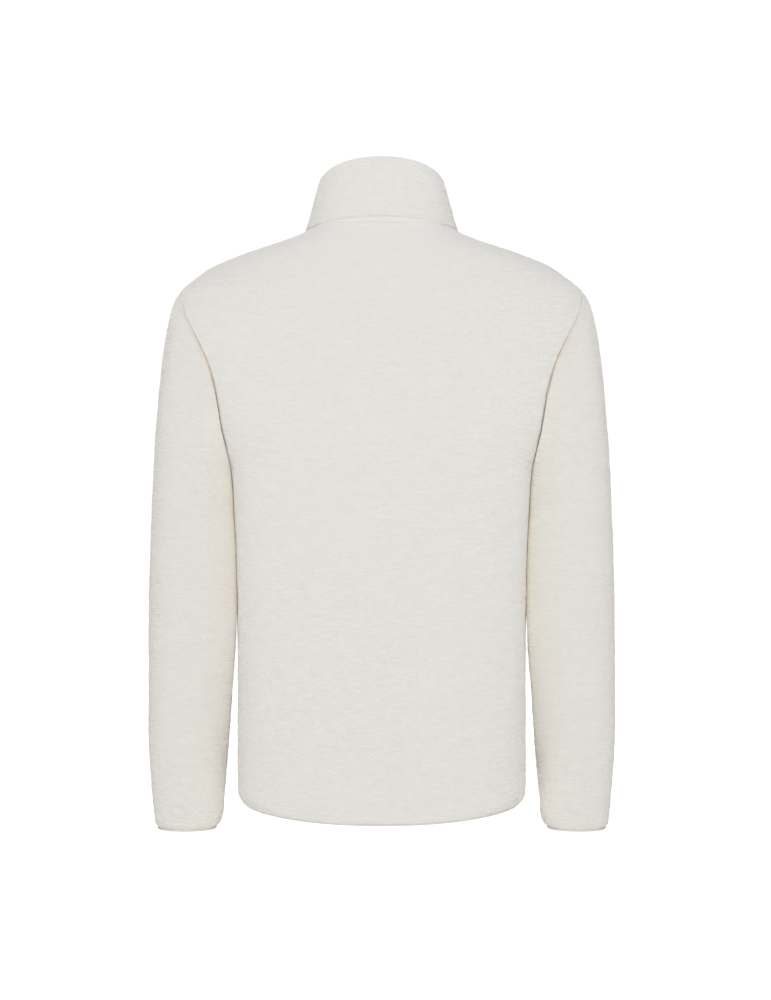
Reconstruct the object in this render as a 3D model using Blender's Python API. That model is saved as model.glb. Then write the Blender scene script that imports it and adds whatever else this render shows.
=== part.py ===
"""Sherpa jacket with a stand collar and a full-length front zip, in the hollow shape it has when worn.

Metres, +Z up. The origin is the middle of the neck opening, level with the points where the
shoulder seams meet the collar. The fronts face -Y and the wearer's left is +X.

Every cloth piece is a wall. Its outer points lie on one body form or one sleeve form, and its
inner points lie one thickness further in. Pieces that are sewn together share the points of
their seam, and each stops half a seam gap short of it.
"""

import math

import bmesh
import bpy
import numpy as np

# ---------------------------------------------------------------- driving dimensions
WALL = 0.0050              # fleece with its pile
COLLAR_TOP_WALL = 0.0070   # the collar is fuller along its top edge
SEAM_GAP = 0.0003
HEM_HEIGHT = -0.6650       # lowest line of the cloth at the side seams
BACK_HEM_DROP = 0.0120     # the hem hangs lower at the centre back
ROW_CURVE = 2.2            # how late the hem, the neck line and the rows between bend
UNDERARM_HEIGHT = -0.2780
SHOULDER_END_HEIGHT = -0.0705
NECK_HALF_WIDTH = 0.0880
BACK_NECK_RISE = 0.0075    # centre back neck above the shoulder seams
FRONT_NECK_DROP = 0.0580
BACK_NECK_REACH = 0.0850   # the neck seam's middle points, from the side-seam plane
FRONT_NECK_REACH = 0.0850
HEM_ROLL = 0.0070          # the bound hem pulls the cloth in
HEM_ROLL_HEIGHT = 0.0160
ARMHOLE_BACK_DEPTH = 0.0725
ARMHOLE_FRONT_DEPTH = 0.0790
BINDING_HEIGHT = 0.0026
BINDING_TAPER = 0.0010
COLLAR_TOP = {"half_width": 0.0735, "back": 0.0765, "front": 0.0780}
COLLAR_TOP_HEIGHT = {"back": 0.0772, "side": 0.0520, "front": 0.0190}
COLLAR_BULGE = 0.0015
COLLAR_EDGE_RADIUS = 0.0030
COLLAR_EDGE_FULLNESS = 0.8
NECK_STRIP = {
    "half_width": 0.0680, "start": 0.0007, "depth": 0.0070, "end_depth": 0.0012,
    "lift": 0.0018, "end_lift": 0.0006, "clear": 0.0007,
}
ZIP_GAP = 0.0065           # half the width that the zip shows between the fronts
TAPE_HALF_WIDTH = 0.0140
TAPE_THICKNESS = 0.0010
TAPE_CLEAR = 0.0005
BICEP_HEIGHT = -0.3350

# Cells of the walls: along the seams, and across the panels.
HEM_ROWS = (0.0, 0.0055, 0.0110, 0.0180)
SIDE_ROWS = 8
ARMHOLE_ROWS = 11
SHOULDER_ROWS = 7
HALF_COLUMNS = 12
SLEEVE_CAP_ROWS = 10
SLEEVE_ARM_ROWS = 8


def table(names, *rows):
    """Named columns from a short list of rows."""
    return dict(zip(names.split(), np.array(rows, float).T))


# Half width of the body form from front to side. Above the underarm the form runs on past the
# armhole, and above the shoulder ends it is the line of the shoulder seam.
BODY_WIDTHS = table(
    "height half_width",
    (-0.700, 0.1677),
    (-0.560, 0.1678),
    (-0.477, 0.1681),
    (-0.384, 0.1707),
    (-0.320, 0.1735),
    (-0.290, 0.1753),
    (-0.278, 0.1768),
    (-0.254, 0.1875),
    (-0.225, 0.2030),
    (-0.191, 0.2170),
    (-0.160, 0.2285),
    (-0.126, 0.2405),
    (-0.100, 0.2440),
    (-0.086, 0.2403),
    (-0.0705, 0.2350),
    (-0.0565, 0.2190),
    (-0.0398, 0.1935),
    (-0.0236, 0.1525),
    (-0.0120, 0.1170),
    (0.000, 0.0880),
    (0.020, 0.0875),
)

# How far the form reaches back and forward at its middle, and how square its section is.
BODY_DEPTHS = table(
    "height back front squareness",
    (-0.700, 0.1285, 0.1235, 2.50),
    (-0.550, 0.1270, 0.1225, 2.50),
    (-0.400, 0.1240, 0.1225, 2.50),
    (-0.280, 0.1222, 0.1245, 2.45),
    (-0.200, 0.1225, 0.1235, 2.40),
    (-0.150, 0.1203, 0.1195, 2.35),
    (-0.100, 0.1145, 0.1085, 2.27),
    (-0.0775, 0.1098, 0.0985, 2.22),
    (-0.058, 0.1050, 0.0850, 2.18),
    (-0.040, 0.0995, 0.0695, 2.15),
    (-0.020, 0.0925, 0.0526, 2.12),
    (0.000, 0.0850, 0.0355, 2.10),
    (0.020, 0.0850, 0.0355, 2.10),
)

# Sleeve below the bicep: where its inner and outer edges are, and how deep it is.
SLEEVE_SECTIONS = table(
    "height inner outer middle half_depth",
    (-0.7025, 0.1990, 0.2632, -0.0340, 0.0365),
    (-0.6978, 0.1932, 0.2668, -0.0335, 0.0400),
    (-0.6870, 0.1885, 0.2688, -0.0320, 0.0427),
    (-0.6680, 0.1866, 0.2706, -0.0300, 0.0445),
    (-0.6400, 0.1838, 0.2725, -0.0265, 0.0475),
    (-0.5970, 0.1802, 0.2745, -0.0215, 0.0520),
    (-0.5400, 0.1761, 0.2738, -0.0150, 0.0585),
    (-0.4800, 0.1714, 0.2730, -0.0090, 0.0650),
    (-0.4000, 0.1715, 0.2713, -0.0040, 0.0710),
    (-0.3350, 0.1740, 0.2688, -0.0020, 0.0735),
    (-0.3000, 0.1760, 0.2672, -0.0010, 0.0740),
)
SLEEVE_SQUARENESS = 2.2

# How the sleeve leaves the armhole and how it arrives at the bicep, by place round the arm.
SLEEVE_CAP = {
    "top": {"leave": (0.0198, 0.0000, -0.0160), "arrive": (-0.0028, 0.0920)},
    "side": {"leave": (0.0260, 0.0120, -0.0350), "arrive": (0.0000, 0.0600)},
    "under": {"leave": (0.0008, 0.0000, -0.0150), "arrive": (0.0000, 0.0150)},
}

# Soft troughs across the sleeves: ends, depth and width. Face is 1 at the back, -1 in front.
SLEEVE_TROUGHS = table(
    "left face x1 z1 x2 z2 depth width",
    (1, 1, 0.2400, -0.2150, 0.1960, -0.2720, 0.0032, 0.0130),
    (0, 1, 0.2430, -0.2220, 0.1975, -0.2680, 0.0028, 0.0140),
    (1, 1, 0.2060, -0.3200, 0.1800, -0.3290, 0.0026, 0.0090),
    (0, 1, 0.2110, -0.3230, 0.1800, -0.3270, 0.0024, 0.0100),
    (1, 1, 0.2460, -0.6080, 0.2060, -0.6260, 0.0014, 0.0110),
    (0, 1, 0.2400, -0.6150, 0.2000, -0.6210, 0.0013, 0.0120),
    (1, -1, 0.2440, -0.3650, 0.1980, -0.3900, 0.0034, 0.0150),
    (0, -1, 0.2380, -0.3720, 0.1960, -0.3840, 0.0030, 0.0160),
    (1, -1, 0.2300, -0.4400, 0.1900, -0.4220, 0.0022, 0.0130),
    (0, -1, 0.2340, -0.4480, 0.1930, -0.4300, 0.0024, 0.0120),
)

# The edges of the armhole and the neck are cut towards these points inside the hollow.
ARMHOLE_HEART = np.array((0.1750, 0.0, -0.1750))
NECK_HEART = np.array((0.0, 0.0, -0.0600))
BODY_HEART = np.array((0.0, 0.0, -0.3500))

CREAM = (0.768, 0.752, 0.708)
BINDING_CREAM = (0.680, 0.640, 0.560)
TAPE_CREAM = (0.700, 0.680, 0.620)
SILVER = (0.560, 0.550, 0.530)


# ---------------------------------------------------------------- curves and forms
def smooth(values, name, at):
    """A column of a table read at any height, as a smooth curve through its rows."""
    heights, column = values["height"], values[name]
    at = np.clip(np.asarray(at, float), heights[0], heights[-1])
    slopes = np.gradient(column, heights)
    low = np.clip(np.searchsorted(heights, at) - 1, 0, len(heights) - 2)
    step = heights[low + 1] - heights[low]
    t = (at - heights[low]) / step
    return (
        column[low] * (1 + 2 * t) * (1 - t) ** 2
        + slopes[low] * step * t * (1 - t) ** 2
        + column[low + 1] * t * t * (3 - 2 * t)
        - slopes[low + 1] * step * t * t * (1 - t)
    )


def unit(vectors):
    length = np.linalg.norm(vectors, axis=-1, keepdims=True)
    return vectors / np.maximum(length, 1e-12)


def stack(*parts):
    return np.stack(np.broadcast_arrays(*parts), axis=-1).astype(float)


def even_points(curve, count):
    """The curve's points set out again at count + 1 even distances along it."""
    steps = np.linalg.norm(np.diff(curve, axis=0), axis=1)
    along = np.concatenate(([0.0], np.cumsum(steps)))
    wanted = np.linspace(0.0, along[-1], count + 1)
    return stack(*(np.interp(wanted, along, curve[:, axis]) for axis in range(3)))


def hem_line(x, face):
    """Height of the hem at x, on the back (face 1) or a front (face -1)."""
    drop = BACK_HEM_DROP if face > 0 else 0.0
    share = np.abs(x) / (BODY_WIDTHS["half_width"][0] - HEM_ROLL)
    return HEM_HEIGHT - drop * (1 - np.clip(share, 0, 1) ** ROW_CURVE)


def hem_pull(height):
    """How far the hem draws the cloth in, at a height above the hem line."""
    return HEM_ROLL * np.clip(1 - height / HEM_ROLL_HEIGHT, 0, 1) ** 2.5


def side_reach(z):
    """Distance of the side seam from the middle."""
    return smooth(BODY_WIDTHS, "half_width", z) - hem_pull(z - HEM_HEIGHT)


def body_depth(x, z, face):
    """Distance of the body form from the side-seam plane."""
    pull = hem_pull(z - hem_line(x, face))
    width = smooth(BODY_WIDTHS, "half_width", z) - pull
    depth = smooth(BODY_DEPTHS, "back" if face > 0 else "front", z) - pull
    power = smooth(BODY_DEPTHS, "squareness", z)
    share = np.clip(np.abs(x) / width, 0, 1)
    return depth * (1 - share ** power) ** (1 / power)


def body_points(x, z, face):
    return stack(x, face * body_depth(x, z, face), z)


def armhole_curve(face, count):
    """The armhole from the underarm to the shoulder end, on the form's left side."""
    turn = np.linspace(-math.pi / 2, math.pi / 2, 400)
    middle = (SHOULDER_END_HEIGHT + UNDERARM_HEIGHT) / 2
    z = middle + (SHOULDER_END_HEIGHT - UNDERARM_HEIGHT) / 2 * np.sin(turn)
    y = (ARMHOLE_BACK_DEPTH if face > 0 else ARMHOLE_FRONT_DEPTH) * np.cos(turn)
    depth = smooth(BODY_DEPTHS, "back" if face > 0 else "front", z)
    power = smooth(BODY_DEPTHS, "squareness", z)
    x = smooth(BODY_WIDTHS, "half_width", z) * (1 - (y / depth) ** power) ** (1 / power)
    return even_points(stack(x, face * y, z), count)


def side_curve():
    low = HEM_HEIGHT + np.array(HEM_ROWS)
    high = np.linspace(low[-1], UNDERARM_HEIGHT, SIDE_ROWS + 1)
    z = np.concatenate((low, high[1:]))
    return stack(side_reach(z), 0 * z, z)


def shoulder_curve():
    z = np.linspace(SHOULDER_END_HEIGHT, 0.0, 400)
    return even_points(stack(smooth(BODY_WIDTHS, "half_width", z), 0 * z, z), SHOULDER_ROWS)


def panel_edge(face):
    """Side seam, armhole and shoulder seam of one panel, from hem to neck."""
    parts = (side_curve(), armhole_curve(face, ARMHOLE_ROWS)[1:], shoulder_curve()[1:])
    return np.concatenate(parts)


ROWS_TO_UNDERARM = len(HEM_ROWS) - 1 + SIDE_ROWS
ROWS_TO_SHOULDER = ROWS_TO_UNDERARM + ARMHOLE_ROWS
ROWS_TO_NECK = ROWS_TO_SHOULDER + SHOULDER_ROWS


def middle_heights(face):
    """Heights at which the panel's rows cross its middle."""
    hem = HEM_HEIGHT - (BACK_HEM_DROP if face > 0 else 0.0)
    neck = BACK_NECK_RISE if face > 0 else -FRONT_NECK_DROP
    shoulder = -0.100 if face > 0 else -0.128
    knots = (len(HEM_ROWS) - 1, ROWS_TO_UNDERARM, ROWS_TO_SHOULDER, ROWS_TO_NECK)
    heights = (hem + HEM_ROWS[-1], -0.330, shoulder, neck)
    rows = table("height value", *zip(knots, heights))
    above = smooth(rows, "value", np.arange(knots[0], ROWS_TO_NECK + 1))
    return np.concatenate((hem + np.array(HEM_ROWS), above[1:]))


def panel_half(face, start):
    """Half of a panel: rows from hem to neck, columns from x = start to the edge."""
    edge = panel_edge(face)
    heights = middle_heights(face)
    rows = []
    for corner, middle in zip(edge, heights):
        share = np.sin(np.linspace(0, math.pi / 2, 300))
        x = start + (corner[0] - start) * share
        z = middle + (corner[2] - middle) * (x / corner[0]) ** ROW_CURVE
        line = body_points(x, z, face)
        line[-1] = corner
        rows.append(even_points(line, HALF_COLUMNS))
    return np.array(rows)


def mirrored(points):
    return points * np.array((-1.0, 1.0, 1.0))


# ---------------------------------------------------------------- seams
def edge_inward():
    """Direction from outer to inner points along the side seam, armhole and shoulder seam."""
    def seam_inward(curve):
        run = np.gradient(curve, axis=0)
        return unit(stack(-run[:, 2], 0 * run[:, 0], run[:, 0]))

    def for_face(face):
        armhole = unit(ARMHOLE_HEART - armhole_curve(face, ARMHOLE_ROWS))
        return np.concatenate(
            (seam_inward(side_curve())[:-1], armhole, seam_inward(shoulder_curve())[1:])
        )

    return {1: for_face(1), -1: for_face(-1)}


def seam_out(curve, inward, towards):
    """Unit vectors across a seam, pointing the way that towards does."""
    across = unit(np.cross(np.gradient(curve, axis=0), inward))
    flip = np.sign(np.sum(across * towards, axis=1, keepdims=True))
    return across * np.where(flip == 0, 1, flip)


def normals(grid, closed=False):
    """Unit normals of a grid of points, turned away from its hollow by the caller."""
    down = np.gradient(grid, axis=0)
    if closed:
        round_ = (np.roll(grid, -1, axis=1) - np.roll(grid, 1, axis=1)) / 2
    else:
        round_ = np.gradient(grid, axis=1)
    return unit(np.cross(down, round_))


def away_from(direction, grid, heart):
    """Flips normals that point at the heart, a point or one point per row."""
    side = np.sum(direction * (grid - heart), axis=-1, keepdims=True)
    return direction * np.where(side.sum() < 0, -1.0, 1.0)


def panel_walls(face, start):
    """Outer and inner points of half a panel, short of its seams by half a gap, and the seams."""
    outer = panel_half(face, start)
    out = away_from(normals(outer), outer, BODY_HEART)
    if start == 0:
        out[:, 0, 0] = 0.0
        out[:, 0] = unit(out[:, 0])
    inner = outer - WALL * out
    edge_in = edge_inward()[face]
    inner[:, -1] = outer[:, -1] + WALL * edge_in
    neck_in = unit(NECK_HEART - outer[-1])
    inner[-1] = outer[-1] + WALL * neck_in
    half = SEAM_GAP / 2
    seams = {
        "neck_outer": outer[-1].copy(),
        "neck_in": neck_in,
        "neck_up": seam_out(outer[-1], neck_in, np.array((0.0, 0.0, 1.0))),
        "hem_outer": outer[0].copy(),
        "hem_inner": inner[0].copy(),
        "hem_down": unit(outer[0] - outer[1]),
    }
    edge_outer = outer[:, -1].copy()
    for rows, towards in (
        (slice(0, ROWS_TO_UNDERARM + 1), (0.0, float(-face), 0.0)),
        (slice(ROWS_TO_UNDERARM, ROWS_TO_SHOULDER + 1), (1.0, 0.0, 0.2)),
        (slice(ROWS_TO_SHOULDER, ROWS_TO_NECK + 1), (0.0, float(-face), 0.0)),
    ):
        shift = half * seam_out(edge_outer[rows], edge_in[rows], np.array(towards))
        outer[rows, -1] -= shift
        inner[rows, -1] -= shift
    outer[-1] -= half * seams["neck_up"]
    inner[-1] -= half * seams["neck_up"]
    outer[0] -= half * seams["hem_down"]
    inner[0] -= half * seams["hem_down"]
    return outer, inner, seams


# ---------------------------------------------------------------- solids
def material(name, colour, roughness, metallic=0.0):
    made = bpy.data.materials.new(name)
    made.use_nodes = True
    shader = made.node_tree.nodes["Principled BSDF"]
    shader.inputs["Base Color"].default_value = (*colour, 1.0)
    shader.inputs["Roughness"].default_value = roughness
    shader.inputs["Metallic"].default_value = metallic
    made.diffuse_color = (*colour, 1.0)
    return made


def add_object(name, bm, colour, roughness=0.9, metallic=0.0, flat_above=50.0):
    bmesh.ops.recalc_face_normals(bm, faces=bm.faces)
    if bm.calc_volume(signed=True) < 0:
        bmesh.ops.reverse_faces(bm, faces=bm.faces)
    mesh = bpy.data.meshes.new(name)
    bm.to_mesh(mesh)
    bm.free()
    mesh.shade_smooth()
    mesh.set_sharp_from_angle(angle=math.radians(flat_above))
    mesh.materials.append(material(name, colour, roughness, metallic))
    made = bpy.data.objects.new(name, mesh)
    bpy.context.scene.collection.objects.link(made)
    return made


def wall(name, outer, inner, colour, closed=False, roughness=0.9):
    """A flat grid is doubled into two layers, and both are laid on their points.

    With closed, the first and the last column are one, so that the wall is a tube.
    """
    rows, columns = outer.shape[0], outer.shape[1] + int(closed)
    bm = bmesh.new()
    bmesh.ops.create_grid(bm, x_segments=columns - 1, y_segments=rows - 1, size=0.5)
    if closed:
        first = {round(v.co.y, 5): v for v in bm.verts if v.co.x < -0.4999}
        last = {v: first[round(v.co.y, 5)] for v in bm.verts if v.co.x > 0.4999}
        bmesh.ops.weld_verts(bm, targetmap=last)
    whole = bm.faces[:] + bm.edges[:] + bm.verts[:]
    doubled = bmesh.ops.extrude_face_region(bm, geom=whole, use_keep_orig=True)
    second = {part for part in doubled["geom"] if isinstance(part, bmesh.types.BMVert)}
    for vert in bm.verts:
        column = round((vert.co.x + 0.5) * (columns - 1))
        row = round((vert.co.y + 0.5) * (rows - 1))
        layer = inner if vert in second else outer
        vert.co = layer[row, column]
    return add_object(name, bm, colour, roughness)


def make_back():
    outer, inner, seams = panel_walls(1, 0.0)
    outer = np.concatenate((outer[:, :0:-1], mirrored(outer)), axis=1)
    inner = np.concatenate((inner[:, :0:-1], mirrored(inner)), axis=1)
    wall("back", outer, inner, CREAM)
    return outer, seams


def make_fronts():
    outer, inner, seams = panel_walls(-1, ZIP_GAP)
    wall("front_left", outer, inner, CREAM)
    wall("front_right", mirrored(outer), mirrored(inner), CREAM)
    return inner, seams


# ---------------------------------------------------------------- sleeves
def armhole_ring():
    """The armhole's seam points and their inward directions, once round from the underarm."""
    back = armhole_curve(1, ARMHOLE_ROWS)
    front = armhole_curve(-1, ARMHOLE_ROWS)
    ring = np.concatenate((back, front[-2:0:-1]))
    inward = unit(ARMHOLE_HEART - ring)
    run = np.roll(ring, -1, axis=0) - np.roll(ring, 1, axis=0)
    across = unit(np.cross(run, inward))
    across *= np.sign(across[:, :1])
    return ring, inward, across


def sleeve_ring(z, turn):
    """Points of the sleeve's section at height z. Turn runs from the inner edge by the back."""
    inner = smooth(SLEEVE_SECTIONS, "inner", z)
    outer = smooth(SLEEVE_SECTIONS, "outer", z)
    middle = smooth(SLEEVE_SECTIONS, "middle", z)
    deep = smooth(SLEEVE_SECTIONS, "half_depth", z)
    power = 2 / SLEEVE_SQUARENESS
    sine, cosine = np.sin(turn), np.cos(turn)
    across = np.sign(sine) * np.abs(sine) ** power
    along = np.sign(cosine) * np.abs(cosine) ** power
    return stack((inner + outer) / 2 + (outer - inner) / 2 * across, middle + deep * along, z)


def cap_points(ring, turn, share):
    """The sleeve between the armhole and the bicep, a share of the way down."""
    end = sleeve_ring(np.full(len(turn), BICEP_HEIGHT), turn)
    top = np.clip(np.sin(turn), 0, 1) ** 2
    under = np.clip(-np.sin(turn), 0, 1) ** 2
    side = 1 - top - under
    leave = np.zeros_like(ring)
    arrive = np.zeros_like(ring)
    for weight, place in ((top, "top"), (side, "side"), (under, "under")):
        way = np.tile(SLEEVE_CAP[place]["leave"], (len(turn), 1))
        way[:, 1] *= np.sign(np.cos(turn))
        leave += weight[:, None] * way
        out, up = SLEEVE_CAP[place]["arrive"]
        arrive += weight[:, None] * np.array((out, 0.0, up))
    first, second = ring + leave, end + arrive
    t = share
    return (
        ring * (1 - t) ** 3
        + first * 3 * t * (1 - t) ** 2
        + second * 3 * t * t * (1 - t)
        + end * t ** 3
    )


def trough_depth(points, left):
    """Depth of the soft troughs at the sleeve's points."""
    depth = np.zeros(points.shape[:-1])
    middle = smooth(SLEEVE_SECTIONS, "middle", points[..., 2])
    place = points[..., (0, 2)]
    for row in zip(*SLEEVE_TROUGHS.values()):
        on_left, face, x1, z1, x2, z2, deep, width = row
        if bool(on_left) != left:
            continue
        start, run = np.array((x1, z1)), np.array((x2 - x1, z2 - z1))
        t = np.clip((place - start) @ run / (run @ run), 0, 1)
        away = np.linalg.norm(place - start - t[..., None] * run, axis=-1)
        on_face = np.clip(face * (points[..., 1] - middle) / 0.02, 0, 1)
        taper = 0.35 + 0.65 * np.sin(math.pi * np.clip(0.1 + 0.8 * t, 0, 1))
        depth += deep * taper * on_face * np.exp(-((away / width) ** 2))
    return depth


def sleeve_heights():
    arm = np.linspace(BICEP_HEIGHT, SLEEVE_SECTIONS["height"][3], SLEEVE_ARM_ROWS + 1)
    cuff = SLEEVE_SECTIONS["height"][2::-1]
    end = cuff[-1] + BINDING_HEIGHT
    return np.concatenate((arm[1:], (-0.6790, cuff[0], (cuff[0] + cuff[1]) / 2, cuff[1], end)))


def make_sleeve(left):
    ring, inward, across = armhole_ring()
    columns = len(ring)
    turn = -math.pi / 2 + 2 * math.pi * np.arange(columns) / columns
    rows = [cap_points(ring, turn, k / SLEEVE_CAP_ROWS) for k in range(SLEEVE_CAP_ROWS + 1)]
    rows += [sleeve_ring(np.full(columns, z), turn) for z in sleeve_heights()]
    outer = np.array(rows)
    middle = outer.mean(axis=1, keepdims=True)
    out = away_from(normals(outer, closed=True), outer, middle)
    fade = np.clip(np.arange(len(outer)) / 3.0, 0, 1)[:, None]
    outer = outer - (fade * trough_depth(outer, left))[..., None] * out
    out = away_from(normals(outer, closed=True), outer, middle)
    inner = outer - WALL * out
    inner[0] = outer[0] + WALL * inward
    cuff = {"outer": outer[-1].copy(), "inner": inner[-1].copy()}
    half = SEAM_GAP / 2
    outer[0] += half * across
    inner[0] += half * across
    outer[-1, :, 2] += half
    inner[-1, :, 2] += half
    side = "left" if left else "right"
    place = (lambda points: points) if left else mirrored
    wall(f"sleeve_{side}", place(outer), place(inner), CREAM, closed=True)
    make_cuff_binding(f"cuff_binding_{side}", cuff, place)


def make_cuff_binding(name, cuff, place):
    """The narrow bound edge below the cuff, tapering towards its lower side."""
    down = np.array((0.0, 0.0, -1.0))
    inwards = unit(cuff["inner"] - cuff["outer"])
    outer, inner = [], []
    for share, taper in ((0.0, 0.0), (0.6, 0.25), (1.0, 1.0)):
        drop = SEAM_GAP / 2 + share * (BINDING_HEIGHT - SEAM_GAP / 2)
        outer.append(cuff["outer"] + drop * down + taper * BINDING_TAPER * inwards)
        inner.append(cuff["inner"] + drop * down - taper * BINDING_TAPER * inwards)
    wall(name, place(np.array(outer)), place(np.array(inner)), BINDING_CREAM, closed=True)


# ---------------------------------------------------------------- hem, collar and neck strip
def all_round(front, back):
    """Joins the left halves of front and back into one run: left front, back, right front."""
    left = np.concatenate((front, back[-2::-1]))
    return np.concatenate((left, mirrored(left)[-2::-1]))


def make_hem_binding(front, back):
    outer_line = all_round(front["hem_outer"], back["hem_outer"])
    inner_line = all_round(front["hem_inner"], back["hem_inner"])
    down = unit(all_round(front["hem_down"], back["hem_down"]))
    inwards = unit(inner_line - outer_line)
    outer, inner = [], []
    for share, taper in ((0.0, 0.0), (0.6, 0.25), (1.0, 1.0)):
        drop = SEAM_GAP / 2 + share * (BINDING_HEIGHT - SEAM_GAP / 2)
        outer.append(outer_line + drop * down + taper * BINDING_TAPER * inwards)
        inner.append(inner_line + drop * down - taper * BINDING_TAPER * inwards)
    wall("hem_binding", np.array(outer), np.array(inner), BINDING_CREAM)


COLLAR_ROWS = (0.0, 0.14, 0.36, 0.60, 0.80, 0.92, 0.98, 1.0)


def collar_top(neck):
    """The collar's top line above each point of the neck seam."""
    across = neck[:, 0] / NECK_HALF_WIDTH
    along = neck[:, 1] / np.where(neck[:, 1] > 0, BACK_NECK_REACH, FRONT_NECK_REACH)
    turn = np.arctan2(along, across)
    back = np.sin(turn)
    rise = COLLAR_TOP_HEIGHT["back"] - COLLAR_TOP_HEIGHT["side"]
    fall = COLLAR_TOP_HEIGHT["side"] - COLLAR_TOP_HEIGHT["front"]
    slope = (rise + fall) / 2
    curve = (rise - fall) / 2
    height = COLLAR_TOP_HEIGHT["side"] + slope * back + curve * back ** 2
    depth = np.where(back > 0, COLLAR_TOP["back"], COLLAR_TOP["front"])
    return stack(COLLAR_TOP["half_width"] * np.cos(turn), depth * back, height)


def make_collar(front, back):
    """Stand collar on the neck seam, leaning inwards, with a soft round top edge."""
    neck = all_round(front["neck_outer"], back["neck_outer"])
    neck_in = all_round(front["neck_in"], back["neck_in"])
    up = unit(all_round(front["neck_up"], back["neck_up"]))
    top = collar_top(neck)
    for end in (0, -1):
        top[end, 0] = neck[end, 0]
    away = unit(stack(neck[:, 0], neck[:, 1], 0 * neck[:, 0]))
    away[(0, -1), 0] = 0.0
    rows = []
    for share in COLLAR_ROWS:
        bulge = COLLAR_BULGE * math.sin(math.pi * share)
        rows.append(neck + (top - neck) * share + bulge * away)
    outer = np.array(rows)
    out = away_from(normals(outer), outer, np.array((0.0, 0.0, 0.0)))
    out[:, (0, -1), 0] = 0.0
    out = unit(out)
    share = np.array(COLLAR_ROWS)[:, None, None]
    inner = outer - (WALL + (COLLAR_TOP_WALL - WALL) * share) * out
    inner[0] = outer[0] + WALL * neck_in
    height = np.linalg.norm(top - neck, axis=1)[None, :, None]
    to_top = np.clip((1 - share) * height / COLLAR_EDGE_RADIUS, 0, 1)
    rounding = COLLAR_EDGE_FULLNESS * COLLAR_EDGE_RADIUS * (1 - np.sqrt(1 - (1 - to_top) ** 2))
    outer = outer - rounding * out
    inner = inner + rounding * out
    half = SEAM_GAP / 2
    outer[0] += half * up
    inner[0] += half * up
    wall("collar", outer, inner, CREAM)
    return inner, out


def make_neck_strip(back_outer):
    """A crescent on the back panel, just below the collar seam."""
    line, below = back_outer[-1], back_outer[-2]
    keep = np.abs(line[:, 0]) <= NECK_STRIP["half_width"]
    line, below = line[keep], below[keep]
    run = unit(below - line)
    out = unit(np.cross(run, np.gradient(line, axis=0)))
    out *= np.sign(out[:, 1:2])
    share = np.abs(line[:, 0]) / NECK_STRIP["half_width"]
    fullness = 1 - share ** 2.2
    width = NECK_STRIP["end_depth"] + (NECK_STRIP["depth"] - NECK_STRIP["end_depth"]) * fullness
    lift = NECK_STRIP["end_lift"] + (NECK_STRIP["lift"] - NECK_STRIP["end_lift"]) * fullness
    clear = NECK_STRIP["clear"]
    outer, inner = [], []
    for place, height in ((0.0, 0.6), (0.25, 1.0), (0.75, 1.0), (1.0, 0.45)):
        at = line + run * (NECK_STRIP["start"] + place * width)[:, None]
        inner.append(at + clear * out)
        outer.append(at + (clear + height * lift)[:, None] * out)
    wall("neck_strip", np.array(outer), np.array(inner), CREAM)


# ---------------------------------------------------------------- zip
def zip_line(front_inner, front_seams, collar_inner, collar_out):
    """The centre front from hem to collar top, seen from inside the cloth.

    Gives the two columns of the cloth's inner points next to the zip, and the ways out.
    """
    run = np.gradient(front_inner[:, 0], axis=0)[:-1]
    out = unit(stack(0 * run[:, 0], -run[:, 2], run[:, 1]))
    seam = front_seams["neck_outer"][:2]
    seam_in = front_seams["neck_in"][:2]
    inside = slice(1, len(COLLAR_ROWS) - 2)
    ways = np.concatenate((out, -seam_in[:1], collar_out[inside, 0]))
    ways[:, 0] = 0.0
    inner = np.concatenate(
        (front_inner[:-1, :2], (seam + WALL * seam_in)[None], collar_inner[inside, :2])
    )
    return {"ways": unit(ways), "inner": inner}


def make_tapes(zip_run):
    """Two zip tapes behind the edges of the fronts and the collar."""
    near, far = zip_run["inner"][:, 0], zip_run["inner"][:, 1]
    reach = (TAPE_HALF_WIDTH - near[:, 0]) / (far[:, 0] - near[:, 0])
    edge = near + (far - near) * reach[:, None]
    middle = near.copy()
    middle[:, 0] = SEAM_GAP / 2
    columns = np.stack((middle, near, edge), axis=1)
    ways = zip_run["ways"][:, None]
    face = columns - TAPE_CLEAR * ways
    rear = columns - (TAPE_CLEAR + TAPE_THICKNESS) * ways
    wall("zip_tape_left", face, rear, TAPE_CREAM, roughness=0.7)
    wall("zip_tape_right", mirrored(face), mirrored(rear), TAPE_CREAM, roughness=0.7)


SLIDER = {"width": 0.0088, "length": 0.0110, "thickness": 0.0038, "round": 0.0009}
LUG = {"width": 0.0022, "length": 0.0052, "rise": 0.0026, "root": 0.0010, "bore": 0.0011}
TAB = {
    "width": 0.0068, "length": 0.0260, "thickness": 0.0014, "round": 0.0004,
    "eye": 0.0032, "eye_clear": 0.0010, "lean": math.radians(4.0),
}
ZIP_BOX = {"width": 0.0088, "length": 0.0120, "thickness": 0.0036, "round": 0.0007, "rise": 0.0085}


def box_at(width, thickness, length, middle, rounding=0.0):
    """A box with bevelled edges: width along X, thickness along Y, length along Z."""
    bm = bmesh.new()
    bmesh.ops.create_cube(bm, size=1.0)
    bmesh.ops.scale(bm, vec=(width, thickness, length), verts=bm.verts)
    if rounding:
        bmesh.ops.bevel(
            bm, geom=bm.edges[:], offset=rounding, segments=2, profile=0.5,
            affect="EDGES", material=-1,
        )
    bmesh.ops.translate(bm, vec=middle, verts=bm.verts)
    return bm


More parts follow.
